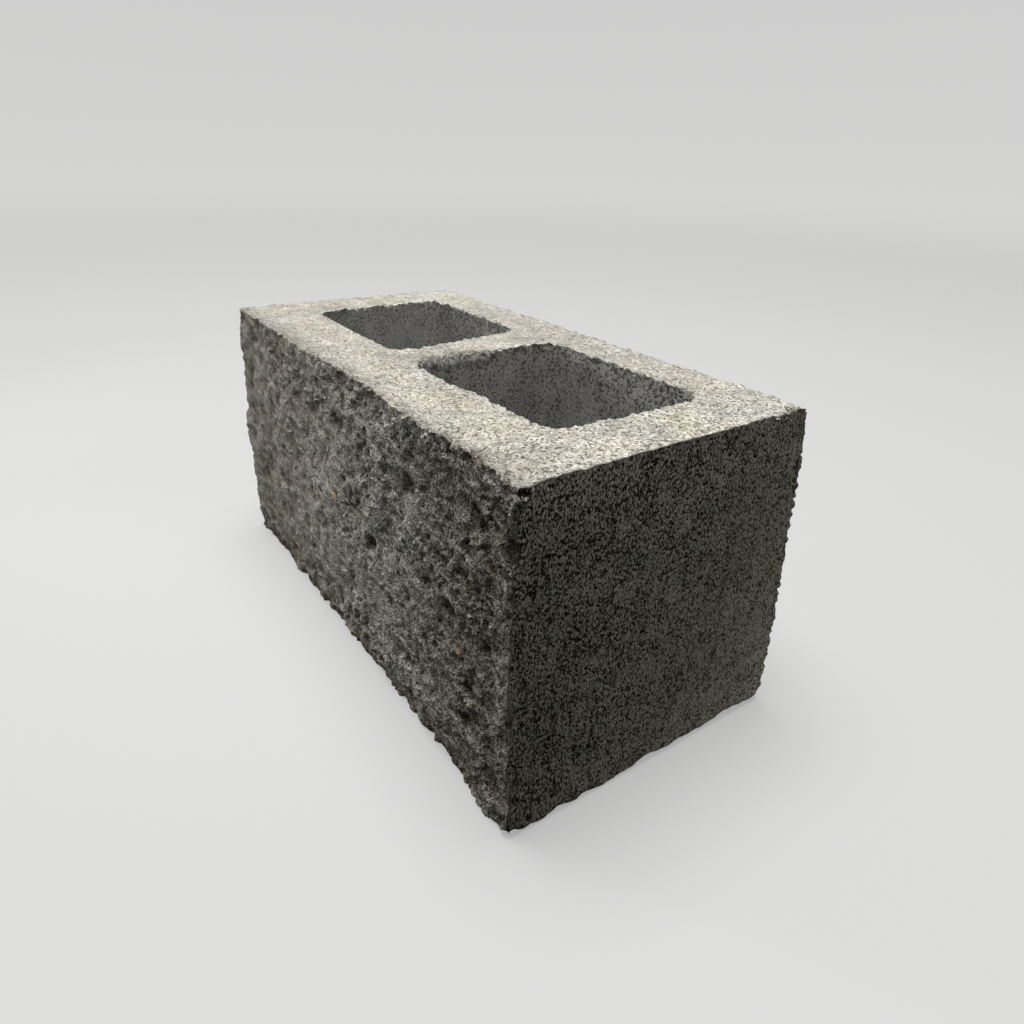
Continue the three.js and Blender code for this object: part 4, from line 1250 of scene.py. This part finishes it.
block_only = bpy.data.collections.new("block_only")
block_only.objects.link(block)
soft_light("key", (-0.04, -0.06, 1.0), 3.0, 2.1, 128.0)
soft_light("side", (-0.47, -0.27, 0.31), 0.62, 0.42, 0.42, aim=(-0.15, -0.05, 0.1))
pool_light("side_pool", (-0.68, -0.56, 0.27), (-0.01, -0.09, 0.09), 23.0, 0.8, 0.14, 23.0)
off_floor(soft_light("fill_back", (0.52, 0.80, 0.05), 0.42, 0.28, 0.11, aim=(0.2, 0.09, 0.08)))
off_floor(soft_light("fill_split", (-0.25, -0.9, -0.35), 0.5, 0.45, 0.28, aim=(0.0, -0.09, 0.03)))
off_floor(soft_light("fill_foot", (0.85, 0.6, -0.10), 0.16, 0.12, 0.07, aim=(0.198, 0.095, 0.02)))
off_floor(soft_light("fill_rear", (-0.62, 0.78, 0.02), 1.3, 0.8, 3.8, aim=(0, 0.05, 0.09)))

# a dim sky that is brightest overhead, with nothing from under the floor
world = bpy.data.worlds.new("studio")
bpy.context.scene.world = world
world.use_nodes = True
tree = world.node_tree
background = tree.nodes["Background"]
up = tree.nodes.new("ShaderNodeSeparateXYZ")
tree.links.new(tree.nodes.new("ShaderNodeTexCoord").outputs["Generated"], up.inputs[0])
ramp_up = tree.nodes.new("ShaderNodeMapRange")
for key, value in (("From Min", -0.15), ("From Max", 0.55), ("To Min", 0.02), ("To Max", 0.27)):
    ramp_up.inputs[key].default_value = value
tree.links.new(up.outputs["Z"], ramp_up.inputs["Value"])
background.inputs["Color"].default_value = (1.0, 0.965, 0.90, 1)
facing = tree.nodes.new("ShaderNodeVectorMath")
facing.operation = "DOT_PRODUCT"
facing.inputs[1].default_value = (0.74, -0.67, 0.0)
tree.links.new(up.inputs[0].links[0].from_socket, facing.inputs[0])
dim = tree.nodes.new("ShaderNodeMapRange")
for key, value in (("From Min", -0.2), ("From Max", 0.95), ("To Min", 1.0), ("To Max", 0.27)):
    dim.inputs[key].default_value = value
tree.links.new(facing.outputs["Value"], dim.inputs["Value"])
strength = tree.nodes.new("ShaderNodeMath")
strength.operation = "MULTIPLY"
tree.links.new(ramp_up.outputs[0], strength.inputs[0])
tree.links.new(dim.outputs[0], strength.inputs[1])
tree.links.new(strength.outputs[0], background.inputs["Strength"])

# ---------------------------------------------------------------- the camera
ROTATION = (1.7632003746587601, 0.9386759443517974, -0.5996794552669948)
SHIFT_MM = (-48.57319106308915, 114.77266149375737, 570.9042093303782)
FOCAL_PX, CENTRE_PX = 748.0819901084228, (530.5953646450325, 445.81181535581027)
turn = Vector(ROTATION)
world_to_view = Matrix.Rotation(turn.length, 3, turn.normalized())
camera_data = bpy.data.cameras.new("camera")
camera_data.sensor_fit, camera_data.sensor_width = "HORIZONTAL", 36.0
camera_data.lens = FOCAL_PX * 36.0 / 1024
camera_data.shift_x = (512 - CENTRE_PX[0]) / 1024
camera_data.shift_y = (CENTRE_PX[1] - 512) / 1024
camera_data.clip_start, camera_data.clip_end = 0.01, 50
camera = bpy.data.objects.new("camera", camera_data)
flip = Matrix(((1, 0, 0), (0, -1, 0), (0, 0, -1)))
to_world = (flip @ world_to_view).transposed()
camera.matrix_world = Matrix.Translation(world_to_view.transposed() @ (-Vector(SHIFT_MM)) / 1000) @ to_world.to_4x4()
bpy.context.scene.collection.objects.link(camera)
bpy.context.scene.camera = camera
bpy.context.scene.view_settings.view_transform = "Standard"

# ---------------------------------------------------------------- hand over
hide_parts("block")
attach(block, "root")
